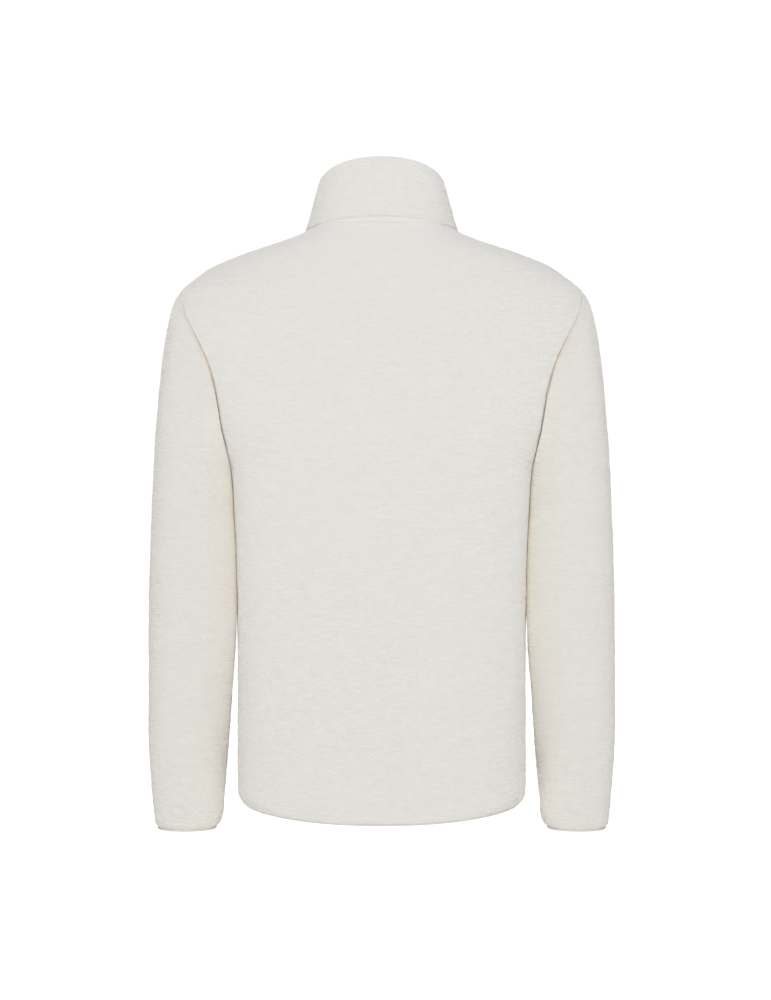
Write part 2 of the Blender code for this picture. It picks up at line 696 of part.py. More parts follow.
def cylinder_at(radius, length, middle, segments=16):
    """A cylinder along X."""
    bm = bmesh.new()
    bmesh.ops.create_cone(
        bm, cap_ends=True, segments=segments, radius1=radius, radius2=radius, depth=length
    )
    turn = np.array(((0, 0, 1), (0, 1, 0), (-1, 0, 0)))
    for vert in bm.verts:
        vert.co = turn @ np.array(vert.co)
    bmesh.ops.translate(bm, vec=middle, verts=bm.verts)
    return bm


def cutter(name, bm):
    made = add_object(name, bm, SILVER)
    made.hide_render = True
    made.display_type = "WIRE"
    return made


def boolean(target, operation, tool):
    step = target.modifiers.new(operation.title(), "BOOLEAN")
    step.operation = operation
    step.object = tool
    step.solver = "EXACT"


def tilted(points, tilt):
    """Points turned about the X axis."""
    c, s = math.cos(tilt), math.sin(tilt)
    return points @ np.array(((1, 0, 0), (0, c, s), (0, -s, c)))


def placed(bm, origin, tilt):
    """Turns a piece made upright at the origin to the zip's lean, and puts it in place."""
    for vert in bm.verts:
        vert.co = tilted(np.array(vert.co), tilt) + origin
    return bm


def zip_place(zip_run, distance):
    """The tapes' face at a distance below the top of the zip, and the way out of the cloth."""
    line = zip_run["inner"][::-1, 0] - TAPE_CLEAR * zip_run["ways"][::-1]
    steps = np.linalg.norm(np.diff(line, axis=0), axis=1)
    along = np.concatenate(([0.0], np.cumsum(steps)))
    if distance < 0:
        distance += along[-1]
    at = np.array([np.interp(distance, along, line[:, k]) for k in range(3)])
    way = [np.interp(distance, along, zip_run["ways"][::-1, k]) for k in range(3)]
    at[0] = 0.0
    return at, unit(np.array(way))


def make_slider_and_tab(zip_run):
    """The slider, closed at the collar's top, and the tab that hangs in its lug."""
    middle, way = zip_place(zip_run, SLIDER["length"] / 2)
    tilt = math.atan2(-way[2], -way[1])
    thickness = SLIDER["thickness"]
    body_middle = (0.0, -SEAM_GAP - thickness / 2, 0.0)
    body = box_at(SLIDER["width"], thickness, SLIDER["length"], body_middle, SLIDER["round"])
    face = -SEAM_GAP - thickness
    lug_depth = LUG["rise"] + LUG["root"]
    lug_middle = (0.0, face - LUG["rise"] + lug_depth / 2, 0.0)
    lug = box_at(LUG["width"], lug_depth, LUG["length"], lug_middle)
    pivot = np.array((0.0, face - LUG["rise"] / 2, 0.0))
    bore = cylinder_at(LUG["bore"], LUG["width"] * 2, pivot)
    slider = add_object("zip_slider", placed(body, middle, tilt), SILVER, 0.35, 1.0, 30.0)
    boolean(slider, "UNION", cutter("lug_guide", placed(lug, middle, tilt)))
    boolean(slider, "DIFFERENCE", cutter("bore_guide", placed(bore, middle, tilt)))
    make_tab(tilted(pivot, tilt) + middle, tilt + TAB["lean"])


def make_tab(pivot, tilt):
    """The tab, whose upper bar passes through the lug's bore. Its eye clears the lug."""
    bar = TAB["thickness"] / 2
    plate_middle = (0.0, 0.0, bar - TAB["length"] / 2)
    plate = box_at(TAB["width"], TAB["thickness"], TAB["length"], plate_middle, TAB["round"])
    eye_width = LUG["width"] + TAB["eye_clear"]
    eye_middle = (0.0, 0.0, -bar - TAB["eye"] / 2)
    eye = box_at(eye_width, TAB["thickness"] * 3, TAB["eye"], eye_middle)
    tab = add_object("zip_pull_tab", placed(plate, pivot, tilt), SILVER, 0.35, 1.0, 30.0)
    boolean(tab, "DIFFERENCE", cutter("eye_guide", placed(eye, pivot, tilt)))


def make_zip_box(zip_run):
    """The box near the foot of the zip, on both tapes."""
    middle, way = zip_place(zip_run, -ZIP_BOX["rise"] - ZIP_BOX["length"] / 2)
    tilt = math.atan2(-way[2], -way[1])
    thickness = ZIP_BOX["thickness"]
    block_middle = (0.0, -SEAM_GAP - thickness / 2, 0.0)
    block = box_at(
        ZIP_BOX["width"], thickness, ZIP_BOX["length"], block_middle, ZIP_BOX["round"]
    )
    add_object("zip_box", placed(block, middle, tilt), SILVER, 0.35, 1.0, 30.0)


# ---------------------------------------------------------------- the jacket
def clear():
    for existing in list(bpy.data.objects):
        bpy.data.objects.remove(existing)


def make_jacket():
    back_outer, back = make_back()
    front_inner, front = make_fronts()
    for left in (True, False):
        make_sleeve(left)
    make_hem_binding(front, back)
    collar_inner, collar_out = make_collar(front, back)
    make_neck_strip(back_outer)
    zip_run = zip_line(front_inner, front, collar_inner, collar_out)
    make_tapes(zip_run)
    make_slider_and_tab(zip_run)
    make_zip_box(zip_run)


clear()
make_jacket()
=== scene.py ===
"""Sherpa jacket with a stand collar, hollow as it is worn, seen from its back.

Metres, +Z up. The fronts face -Y and the wearer's left is +X. The cloth pieces are laid on the
same body form and sleeve form as their solids, far finer, with a short curly pile on their faces.
"""

import itertools
import math

import bmesh
import bpy
import numpy as np
from mathutils import Matrix, Vector


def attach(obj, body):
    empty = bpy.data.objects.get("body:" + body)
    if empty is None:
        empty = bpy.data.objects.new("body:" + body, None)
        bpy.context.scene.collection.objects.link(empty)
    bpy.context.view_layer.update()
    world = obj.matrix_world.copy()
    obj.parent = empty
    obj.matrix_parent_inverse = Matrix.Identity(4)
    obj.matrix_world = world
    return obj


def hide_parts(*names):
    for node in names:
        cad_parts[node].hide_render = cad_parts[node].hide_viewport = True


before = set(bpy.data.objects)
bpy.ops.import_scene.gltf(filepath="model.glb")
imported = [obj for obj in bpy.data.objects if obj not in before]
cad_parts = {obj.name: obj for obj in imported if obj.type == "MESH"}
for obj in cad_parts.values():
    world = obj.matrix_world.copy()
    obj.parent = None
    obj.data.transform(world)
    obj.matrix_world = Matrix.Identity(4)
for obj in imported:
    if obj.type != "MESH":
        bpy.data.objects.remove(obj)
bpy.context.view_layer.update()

# ---------------------------------------------------------------- sizes
BACK, FRONT = 1, -1        # the two faces of the body, and the way that they face along Y

WALL = 0.0050
SEAM_GAP = 0.0002

HEM_HEIGHT = -0.6650       # at the side seam
HEM_DROP = {BACK: 0.0120, FRONT: 0.0}      # how far the hem hangs lower in the middle
HEM_ROLL = 0.0070
HEM_ROLL_HEIGHT = 0.0160
HEM_ROLL_POWER = 2.5
ROW_CURVE = 2.2            # power of the curve that a panel's rows follow across it

UNDERARM_HEIGHT = -0.2780
SHOULDER_END_HEIGHT = -0.0705
ARMHOLE_DEPTH = {BACK: 0.0725, FRONT: 0.0790}
BICEP_HEIGHT = -0.3350

NECK_HALF_WIDTH = 0.0880
NECK_REACH = {BACK: 0.0850, FRONT: 0.0850}
# Heights at which rows of the panels cross the middle, given at their outer ends.
MIDDLE_OF_UNDERARM_ROW = -0.3300
MIDDLE_OF_SHOULDER_ROW = {BACK: -0.1000, FRONT: -0.1280}
MIDDLE_OF_NECK_ROW = {BACK: 0.0075, FRONT: -0.0580}

BINDING_HEIGHT = 0.0026
BINDING_TAPER = 0.0010
# Rows of a bound edge: share of the way down, and share of the taper from both its faces.
BINDING_PROFILE = ((0.0, 0.3), (0.12, 0.0), (0.5, 0.05), (0.8, 0.35), (1.0, 1.0))

COLLAR_TOP_WALL = 0.0070
COLLAR_TOP = {"half_width": 0.0735, "back": 0.0765, "front": 0.0780}
COLLAR_TOP_HEIGHT = {"back": 0.0772, "side": 0.0520, "front": 0.0190}
COLLAR_BULGE = 0.0015
COLLAR_SINK = 0.0011       # how far the pile of the collar lies deeper halfway up
COLLAR_EDGE_RADIUS = 0.0030
COLLAR_EDGE_FULLNESS = 0.8
COLLAR_PILE = {"smoothness": 0.35, "at_sides": 0.6, "full_from": 0.0600, "lining": 0.5}

NECK_STRIP = {
    "half_width": 0.0680, "start": 0.0004, "depth": 0.0070, "end_depth": 0.0012,
    "lift": 0.0020, "end_lift": 0.0004, "set_in": 0.0006, "taper": 2.2, "rows": 11,
    "shaded_to": 1.3,
}

ZIP_GAP = 0.0065           # from the centre to the edge of each front
ZIP_STITCH = {"edge": 0.0070, "depth": 0.0010, "width": 0.0022}
TAPE_HALF_WIDTH = 0.0140
TAPE_THICKNESS = 0.0010
TAPE_CLEAR = 0.0005
TEETH = {
    "pitch": 0.0027, "width": 0.0036, "height": 0.0015, "thickness": 0.0016,
    "reach": 0.0006, "rounding": 0.0004, "offset": 0.49,
}
BOX_TOP = 0.0215           # above the tapes' foot
SLIDER_FOOT = 0.0112       # below the top of the zip
TAPE_TOP_SHARE = 0.80      # of the collar's rows
STITCH = {
    "pitch": 0.0036, "length": 0.0026, "radius": 0.00028,
    "sunk": 0.0013, "first": 0.0040, "last": 0.0030,
}

# Cells of the fine faces, about 2.3 mm each. All can be divided by INNER_STEP.
INNER_STEP = 6
CURVE_SAMPLES = 800        # points of a seam's curve before it is divided evenly
ROW_SAMPLES = 500
HEM_ROWS = np.linspace(0.0, 0.018, 13)
SIDE_ROWS = 144
ARMHOLE_ROWS = 96
SHOULDER_ROWS = 54
HALF_COLUMNS = 108
SLEEVE_CAP_ROWS = 96
SLEEVE_ARM_ROWS = 150
CUFF_ROWS = 18
COLLAR_ROW_CELLS = 36


def table(names, *rows):
    """Named columns from a short list of rows."""
    return dict(zip(names.split(), np.array(rows, float).T))


BODY_WIDTHS = table(
    "height half_width",
    (-0.700, 0.1677),
    (-0.560, 0.1678),
    (-0.477, 0.1681),
    (-0.384, 0.1707),
    (-0.320, 0.1735),
    (-0.290, 0.1753),
    (-0.278, 0.1768),
    (-0.254, 0.1875),
    (-0.225, 0.2030),
    (-0.191, 0.2170),
    (-0.160, 0.2285),
    (-0.126, 0.2405),
    (-0.100, 0.2440),
    (-0.086, 0.2403),
    (-0.0705, 0.2350),
    (-0.0565, 0.2190),
    (-0.0398, 0.1935),
    (-0.0236, 0.1525),
    (-0.0120, 0.1170),
    (0.000, 0.0880),
    (0.020, 0.0875),
)

BODY_DEPTHS = table(
    "height back front squareness",
    (-0.700, 0.1285, 0.1235, 2.50),
    (-0.550, 0.1270, 0.1225, 2.50),
    (-0.400, 0.1240, 0.1225, 2.50),
    (-0.280, 0.1222, 0.1245, 2.45),
    (-0.200, 0.1225, 0.1235, 2.40),
    (-0.150, 0.1203, 0.1195, 2.35),
    (-0.100, 0.1145, 0.1085, 2.27),
    (-0.0775, 0.1098, 0.0985, 2.22),
    (-0.058, 0.1050, 0.0850, 2.18),
    (-0.040, 0.0995, 0.0695, 2.15),
    (-0.020, 0.0925, 0.0526, 2.12),
    (0.000, 0.0850, 0.0355, 2.10),
    (0.020, 0.0850, 0.0355, 2.10),
)

SLEEVE_SECTIONS = table(
    "height inner outer middle half_depth",
    (-0.7025, 0.1990, 0.2632, -0.0340, 0.0365),
    (-0.6978, 0.1932, 0.2668, -0.0335, 0.0400),
    (-0.6870, 0.1885, 0.2688, -0.0320, 0.0427),
    (-0.6680, 0.1866, 0.2706, -0.0300, 0.0445),
    (-0.6400, 0.1838, 0.2725, -0.0265, 0.0475),
    (-0.5970, 0.1802, 0.2745, -0.0215, 0.0520),
    (-0.5400, 0.1761, 0.2738, -0.0150, 0.0585),
    (-0.4800, 0.1714, 0.2730, -0.0090, 0.0650),
    (-0.4000, 0.1715, 0.2713, -0.0040, 0.0710),
    (-0.3350, 0.1740, 0.2688, -0.0020, 0.0735),
    (-0.3000, 0.1760, 0.2672, -0.0010, 0.0740),
)
SLEEVE_SQUARENESS = 2.2

SLEEVE_CAP = {
    "top": {"leave": (0.0198, 0.0000, -0.0160), "arrive": (-0.0028, 0.0920)},
    "side": {"leave": (0.0260, 0.0120, -0.0350), "arrive": (0.0000, 0.0600)},
    "under": {"leave": (0.0008, 0.0000, -0.0150), "arrive": (0.0000, 0.0150)},
}

# Soft troughs across the sleeves: ends, depth and width. Left is 1 on the left sleeve.
SLEEVE_TROUGHS = table(
    "left face x1 z1 x2 z2 depth width",
    (1, BACK, 0.2400, -0.2150, 0.1960, -0.2720, 0.0032, 0.0130),
    (0, BACK, 0.2430, -0.2220, 0.1975, -0.2680, 0.0028, 0.0140),
    (1, BACK, 0.2060, -0.3200, 0.1800, -0.3290, 0.0026, 0.0090),
    (0, BACK, 0.2110, -0.3230, 0.1800, -0.3270, 0.0024, 0.0100),
    (1, BACK, 0.2460, -0.6080, 0.2060, -0.6260, 0.0014, 0.0110),
    (0, BACK, 0.2400, -0.6150, 0.2000, -0.6210, 0.0013, 0.0120),
    (1, FRONT, 0.2440, -0.3650, 0.1980, -0.3900, 0.0034, 0.0150),
    (0, FRONT, 0.2380, -0.3720, 0.1960, -0.3840, 0.0030, 0.0160),
    (1, FRONT, 0.2300, -0.4400, 0.1900, -0.4220, 0.0022, 0.0130),
    (0, FRONT, 0.2340, -0.4480, 0.1930, -0.4300, 0.0024, 0.0120),
)

ARMHOLE_HEART = np.array((0.1750, 0.0, -0.1750))
NECK_HEART = np.array((0.0, 0.0, -0.0600))
BODY_HEART = np.array((0.0, 0.0, -0.3500))


# ---------------------------------------------------------------- curves and forms
def bell(distance, reach):
    """1 at no distance, falling softly to about a third at the reach."""
    return np.exp(-((distance / reach) ** 2))


def ramp(value, over, lowest=0.0):
    """Rises evenly to 1 as the value goes from 0 to over, and stays between lowest and 1."""
    return np.clip(value / over, lowest, 1)


def smooth(values, name, at):
    """A column of a table read at any height, as a smooth curve through its rows."""
    heights, column = values["height"], values[name]
    at = np.clip(np.asarray(at, float), heights[0], heights[-1])
    slopes = np.gradient(column, heights)
    low = np.clip(np.searchsorted(heights, at) - 1, 0, len(heights) - 2)
    step = heights[low + 1] - heights[low]
    t = (at - heights[low]) / step
    return (
        column[low] * (1 + 2 * t) * (1 - t) ** 2
        + slopes[low] * step * t * (1 - t) ** 2
        + column[low + 1] * t * t * (3 - 2 * t)
        - slopes[low + 1] * step * t * t * (1 - t)
    )


def unit(vectors):
    length = np.linalg.norm(vectors, axis=-1, keepdims=True)
    return vectors / np.maximum(length, 1e-12)


def stack(*parts):
    """Points or vectors from their X, Y and Z parts."""
    return np.stack(np.broadcast_arrays(*parts), axis=-1).astype(float)


def distances_along(line):
    steps = np.linalg.norm(np.diff(line, axis=0), axis=1)
    return np.concatenate(([0.0], np.cumsum(steps)))


def read_along(line, values, wanted):
    """Values that go with a line's points, read at the wanted distances along it."""
    along = distances_along(line)
    return stack(*(np.interp(wanted, along, values[:, axis]) for axis in range(3)))


def even_points(curve, count):
    """The curve's points set out again at count + 1 even distances along it."""
    wanted = np.linspace(0.0, distances_along(curve)[-1], count + 1)
    return read_along(curve, curve, wanted)


def hem_line(x, face):
    """Height of the hem at x."""
    share = np.abs(x) / (BODY_WIDTHS["half_width"][0] - HEM_ROLL)
    return HEM_HEIGHT - HEM_DROP[face] * (1 - np.clip(share, 0, 1) ** ROW_CURVE)


def hem_pull(height):
    """How far the hem draws the cloth in, at a height above the hem line."""
    return HEM_ROLL * np.clip(1 - height / HEM_ROLL_HEIGHT, 0, 1) ** HEM_ROLL_POWER


def side_reach(z):
    """Distance of the side seam from the middle."""
    return smooth(BODY_WIDTHS, "half_width", z) - hem_pull(z - HEM_HEIGHT)


def form_depth(z, face):
    """Depth of the body form at its middle, before the hem draws it in."""
    return smooth(BODY_DEPTHS, "back" if face == BACK else "front", z)


def section_share(share, z):
    """The squarish section at height z: its share of one half axis, from that of the other."""
    power = smooth(BODY_DEPTHS, "squareness", z)
    return (1 - share ** power) ** (1 / power)


def body_depth(x, z, face):
    """Distance of the body form from the side-seam plane."""
    pull = hem_pull(z - hem_line(x, face))
    width = smooth(BODY_WIDTHS, "half_width", z) - pull
    share = np.clip(np.abs(x) / width, 0, 1)
    return (form_depth(z, face) - pull) * section_share(share, z)


def body_points(x, z, face):
    return stack(x, face * body_depth(x, z, face), z)


def armhole_curve(face, count):
    """The armhole from the underarm to the shoulder end, on the form's left side."""
    turn = np.linspace(-math.pi / 2, math.pi / 2, CURVE_SAMPLES)
    middle = (SHOULDER_END_HEIGHT + UNDERARM_HEIGHT) / 2
    z = middle + (SHOULDER_END_HEIGHT - UNDERARM_HEIGHT) / 2 * np.sin(turn)
    y = ARMHOLE_DEPTH[face] * np.cos(turn)
    x = smooth(BODY_WIDTHS, "half_width", z) * section_share(y / form_depth(z, face), z)
    return even_points(stack(x, face * y, z), count)


def side_curve():
    """The side seam from the hem to the underarm, with finer rows at the hem."""
    low = HEM_HEIGHT + HEM_ROWS
    high = np.linspace(low[-1], UNDERARM_HEIGHT, SIDE_ROWS + 1)
    z = np.concatenate((low, high[1:]))
    return stack(side_reach(z), 0 * z, z)


def shoulder_curve():
    """The shoulder seam from the shoulder end to the neck."""
    z = np.linspace(SHOULDER_END_HEIGHT, 0.0, CURVE_SAMPLES)
    return even_points(stack(smooth(BODY_WIDTHS, "half_width", z), 0 * z, z), SHOULDER_ROWS)


def panel_edge(face):
    """Side seam, armhole and shoulder seam of one panel, from hem to neck."""
    parts = (side_curve(), armhole_curve(face, ARMHOLE_ROWS)[1:], shoulder_curve()[1:])
    return np.concatenate(parts)


ROWS_TO_UNDERARM = len(HEM_ROWS) - 1 + SIDE_ROWS
ROWS_TO_SHOULDER = ROWS_TO_UNDERARM + ARMHOLE_ROWS
ROWS_TO_NECK = ROWS_TO_SHOULDER + SHOULDER_ROWS


def middle_heights(face):
    """Heights at which the panel's rows cross its middle, as a smooth curve over the rows."""
    hem = HEM_HEIGHT - HEM_DROP[face]
    first = len(HEM_ROWS) - 1
    knots = table(
        "height middle",       # smooth reads a table by its height, which is a row's number here
        (first, hem + HEM_ROWS[-1]),
        (ROWS_TO_UNDERARM, MIDDLE_OF_UNDERARM_ROW),
        (ROWS_TO_SHOULDER, MIDDLE_OF_SHOULDER_ROW[face]),
        (ROWS_TO_NECK, MIDDLE_OF_NECK_ROW[face]),
    )
    above = smooth(knots, "middle", np.arange(first, ROWS_TO_NECK + 1))
    return np.concatenate((hem + HEM_ROWS, above[1:]))


def panel_half(face, start):
    """Half of a panel: rows from hem to neck, columns from x = start to the edge."""
    edge = panel_edge(face)
    heights = middle_heights(face)
    share = np.sin(np.linspace(0, math.pi / 2, ROW_SAMPLES))
    rows = []
    for corner, middle in zip(edge, heights):
        x = start + (corner[0] - start) * share
        z = middle + (corner[2] - middle) * (x / corner[0]) ** ROW_CURVE
        line = body_points(x, z, face)
        line[-1] = corner
        rows.append(even_points(line, HALF_COLUMNS))
    return np.array(rows)


def mirrored(points):
    return points * np.array((-1.0, 1.0, 1.0))


def unmoved(points):
    return points


SIDES = (("left", unmoved), ("right", mirrored))


# ---------------------------------------------------------------- seams
def edge_inward(face):
    """Directions from outer to inner points along the side seam, armhole and shoulder seam."""
    def seam_inward(curve):
        run = np.gradient(curve, axis=0)
        return unit(stack(-run[:, 2], 0 * run[:, 0], run[:, 0]))

    armhole = unit(ARMHOLE_HEART - armhole_curve(face, ARMHOLE_ROWS))
    return np.concatenate(
        (seam_inward(side_curve())[:-1], armhole, seam_inward(shoulder_curve())[1:])
    )


def seam_out(curve, inward, towards):
    """Unit vectors across a seam, pointing the way that towards does."""
    across = unit(np.cross(np.gradient(curve, axis=0), inward))
    flip = np.sign(np.sum(across * towards, axis=1, keepdims=True))
    return across * np.where(flip == 0, 1, flip)


def normals(grid, heart, closed=False):
    """Unit normals of a grid of points, away from its heart: a point, or one for each row."""
    down = np.gradient(grid, axis=0)
    if closed:
        around = (np.roll(grid, -1, axis=1) - np.roll(grid, 1, axis=1)) / 2
    else:
        around = np.gradient(grid, axis=1)
    found = unit(np.cross(down, around))
    side = np.sum(found * (grid - heart), axis=-1, keepdims=True)
    return found * np.where(side.sum() < 0, -1.0, 1.0)


def panel_walls(face, start):
    """Outer and inner points of half a panel, its normals, and its seams."""
    outer = panel_half(face, start)
    out = normals(outer, BODY_HEART)
    if start == 0:             # the two halves meet in the middle
        out[:, 0, 0] = 0.0
        out[:, 0] = unit(out[:, 0])
    inner = outer - WALL * out
    edge_in = edge_inward(face)
    inner[:, -1] = outer[:, -1] + WALL * edge_in
    neck_in = unit(NECK_HEART - outer[-1])
    inner[-1] = outer[-1] + WALL * neck_in
    half = SEAM_GAP / 2
    seams = {
        "neck_outer": outer[-1].copy(),
        "neck_in": neck_in,
        "neck_up": seam_out(outer[-1], neck_in, np.array((0.0, 0.0, 1.0))),
        "hem_outer": outer[0].copy(),
        "hem_inner": inner[0].copy(),
        "hem_down": unit(outer[0] - outer[1]),
    }
    edge_outer = outer[:, -1].copy()
    for rows, towards in (
        (slice(0, ROWS_TO_UNDERARM + 1), (0.0, float(-face), 0.0)),
        (slice(ROWS_TO_UNDERARM, ROWS_TO_SHOULDER + 1), (1.0, 0.0, 0.2)),
        (slice(ROWS_TO_SHOULDER, ROWS_TO_NECK + 1), (0.0, float(-face), 0.0)),
    ):
        shift = half * seam_out(edge_outer[rows], edge_in[rows], np.array(towards))
        outer[rows, -1] -= shift
        inner[rows, -1] -= shift
    for grid in (outer, inner):
        grid[-1] -= half * seams["neck_up"]
        grid[0] -= half * seams["hem_down"]
    return outer, inner, out, seams


# ---------------------------------------------------------------- pile and edges
SEAM_SHADE, PILE_CALM = "seam_shade", "pile_calm"      # values kept on a piece's points
# Colour of the painted warm shade deep in seams and creases, and along the sleeves' inner edges.
PAINTED_SHADE_COLOUR = (0.800, 0.690, 0.540)

# The pile's curls, in metres, and its noise, in cells for each metre.
PILE = {
    "depth": 0.00064, "unevenness": 0.00040,
    "clumps": np.array((42.0, 42.0, 120.0)), "drift": 70.0, "drift_by": 0.45, "broad": 24.0,
    "steepness": 2.2, "roundness": 0.6, "level": 0.55,
}

# Borders of the pieces: the radius that they roll over with, then the depth and the reach of the
# dip beside them. A dip below 0 is a swell.
BORDERS = {
    "panel_neck": {"roll": 0.0004, "dip": -0.0009, "reach": 0.0060},
    "panel_hem": {"roll": 0.0007},
    "panel_side": {"roll": 0.0003, "dip": 0.0009, "reach": 0.0070},
    "panel_zip": {"roll": 0.0022},
    "sleeve_armhole": {"roll": 0.0003, "dip": 0.0014, "reach": 0.0080},
    "sleeve_cuff": {"roll": 0.0007, "dip": 0.0004, "reach": 0.0050},
    "collar_seam": {"roll": 0.0004, "dip": -0.0013, "reach": 0.0090},
    "collar_front": {"roll": 0.0020},
}

# Painted warm shade in seams and creases, and along the sleeves' inner edges: how strong it is,
# and how far it reaches from the line. The neck strip's reaches are shares of its width.
SHADES = {
    "panel_neck": (0.40, 0.0014),
    "panel_side": (0.80, 0.0022),
    "armhole": (0.80, 0.0042),
    "armhole_wide": (0.096, 0.0130),
    "against_body": (0.80, 0.0050),
    "against_body_wide": (0.192, 0.0240),
    "sleeve_inner_edge": (0.16, 0.0045),
    "collar_seam": (0.152, 0.0024),
    "strip_top": (0.08, 0.12),
    "strip_foot": (0.208, 0.22),
}
# From this height above the shoulder end, the armhole seam deepens over this way down.
SEAM_DEEPENS = {"above": 0.0100, "over": 0.1500, "least": 0.15}

NOISE_GAIN = 1.4
CELL_FACTORS = (73856093, 19349663, 83492791)
SEED_FACTOR = 97531
MIXING_STEPS = ((13, 1274126177), (15, 2246822519))
THIRTY_ONE_BITS = 0x7FFFFFFF
TEN_BITS = 0x3FF


def scrambled(cell, seed):
    """A whole number for each cell, the same in each run, with no pattern to be seen."""
    mix = seed * SEED_FACTOR
    for axis, factor in enumerate(CELL_FACTORS):
        mix = mix ^ cell[..., axis] * factor
    for shift, factor in MIXING_STEPS:
        mix = (mix ^ (mix >> shift)) * factor & THIRTY_ONE_BITS
    return mix


def soft_noise(points, seed):
    """Smooth noise, about -1 to 1, with cells one unit wide."""
    cell = np.floor(points).astype(np.int64)
    part = points - cell
    fade = part ** 3 * (part * (part * 6 - 15) + 10)
    total = np.zeros(points.shape[:-1])
    for corner in itertools.product((0, 1), repeat=3):
        mix = scrambled(cell + corner, seed)
        slope = stack(*((mix >> shift & TEN_BITS) / (TEN_BITS / 2) - 1 for shift in (0, 10, 20)))
        weight = np.where(corner, fade, 1 - fade).prod(axis=-1)
        total += weight * np.sum(slope * (part - corner), axis=-1)
    return total * NOISE_GAIN


def pile(points, smoothness=0.0):
    """Height of the curly pile: flat-lying clumps with narrow valleys between them."""
    drift = stack(*(soft_noise(points * PILE["drift"], seed) for seed in (3, 4, 5)))
    clumps = np.abs(soft_noise(points * PILE["clumps"] + PILE["drift_by"] * drift, 1))
    broad = soft_noise(points * PILE["broad"], 2)
    tufts = np.clip(clumps * PILE["steepness"], 0, 1) ** PILE["roundness"] - PILE["level"]
    return (1 - smoothness) * PILE["depth"] * tufts + PILE["unevenness"] * broad


def border_distance(grid, axis, from_end):
    """Distance of each point from the first or the last row or column, along the cloth."""
    steps = np.linalg.norm(np.diff(grid, axis=axis), axis=-1)
    zero = np.zeros_like(np.take(steps, [0], axis=axis))
    if from_end:
        away = np.flip(np.cumsum(np.flip(steps, axis=axis), axis=axis), axis=axis)
        return np.concatenate((away, zero), axis=axis)
    return np.concatenate((zero, np.cumsum(steps, axis=axis)), axis=axis)


def sunk(distance, roll, dip=0.0, reach=1.0):
    """How far the face sinks near an edge: it rolls over the edge and dips beside a seam."""
    near = np.clip(1 - distance / roll, 0, 1)
    return roll * (1 - np.sqrt(1 - near ** 2)) + dip * bell(distance, reach)


def seam_shade(distance, name):
    strength, reach = SHADES[name]
    return strength * bell(distance, reach)


def seam_depth(points):
    """The armhole seam is shallow at the shoulder and deepens on its way down."""
    top = SHOULDER_END_HEIGHT + SEAM_DEEPENS["above"]
    return ramp(top - points[..., 2], SEAM_DEEPENS["over"], SEAM_DEEPENS["least"])


# ---------------------------------------------------------------- meshes
LAYER_HALF = 0.5           # a flat layer reaches this far from its middle, each way
NEAR = 1e-4


def flat_layer(bm, rows, columns, closed, depth):
    """A flat grid at a depth. With closed, its last column is welded to its first."""
    bmesh.ops.create_grid(
        bm, x_segments=columns - 1 + int(closed), y_segments=rows - 1, size=LAYER_HALF,
        matrix=Matrix.Translation((0.0, 0.0, depth)),
    )
    if closed:
        mine = [vert for vert in bm.verts if abs(vert.co.z - depth) < NEAR]
        edge = LAYER_HALF - NEAR
        first = {round(vert.co.y, 5): vert for vert in mine if vert.co.x < -edge}
        last = {vert: first[round(vert.co.y, 5)] for vert in mine if vert.co.x > edge}
        bmesh.ops.weld_verts(bm, targetmap=last)


def border_edges(bm, closed):
    """The open edges to join: the whole border, or the two ends of a tube one by one."""
    border = [edge for edge in bm.edges if edge.is_boundary]
    if not closed:
        return [border]
    return [[edge for edge in border if edge.verts[0].co.y * side > 0] for side in (1, -1)]


def finish_mesh(name, bm, finish, smooth_below=60.0):
    """An object from a closed shape, facing outwards, smooth where it bends less than that."""
    bmesh.ops.recalc_face_normals(bm, faces=bm.faces)
    if bm.calc_volume(signed=True) < 0:
        bmesh.ops.reverse_faces(bm, faces=bm.faces)
    mesh = bpy.data.meshes.new(name)
    bm.to_mesh(mesh)
    bm.free()
    mesh.shade_smooth()
    mesh.set_sharp_from_angle(angle=math.radians(smooth_below))
    mesh.materials.append(finish)
    made = bpy.data.objects.new(name, mesh)
    bpy.context.scene.collection.objects.link(made)
    return made


def laid_on(bm, layers, closed, marks):
    """Moves the flat layers, one below the other, onto their grids of points.

    Gives the marks of each point, from grids that go with the first layer.
    """
    places = np.array([vert.co for vert in bm.verts])
    marked = {name: np.zeros(len(places), np.float32) for name in marks}
    which = np.rint(-places[:, 2]).astype(int)
    for number, grid in enumerate(layers):
        rows, columns = grid.shape[0], grid.shape[1] + int(closed)
        mine = which == number
        row = np.rint((places[mine, 1] + LAYER_HALF) * (rows - 1)).astype(int)
        column = np.rint((places[mine, 0] + LAYER_HALF) * (columns - 1)).astype(int)
        column %= grid.shape[1]
        places[mine] = grid[row, column]
        if number == 0:
            for name, values in marks.items():
                marked[name][mine] = values[row, column]
    for vert, place in zip(bm.verts, places):
        vert.co = place
    return marked


def cloth(name, outer, inner, finish, closed=False, step=INNER_STEP, marks=None):
    """A wall of cloth: a fine outer face and a plainer inner face, joined round their edges.

    Marks are values from 0 to 1 on the outer face. The seam shade paints warm shade into it deep
    in a seam or crease, and the calm flattens its pile.
    """
    inner = inner[::step, ::step]
    bm = bmesh.new()
    for number, grid in enumerate((outer, inner)):
        flat_layer(bm, grid.shape[0], grid.shape[1], closed, -float(number))
    for edges in border_edges(bm, closed):
        bmesh.ops.bridge_loops(bm, edges=edges)
    marked = laid_on(bm, (outer, inner), closed, marks or {})
    piece = finish_mesh(name, bm, finish)
    for mark, values in marked.items():
        piece.data.attributes.new(mark, "FLOAT", "POINT").data.foreach_set("value", values)
    return piece


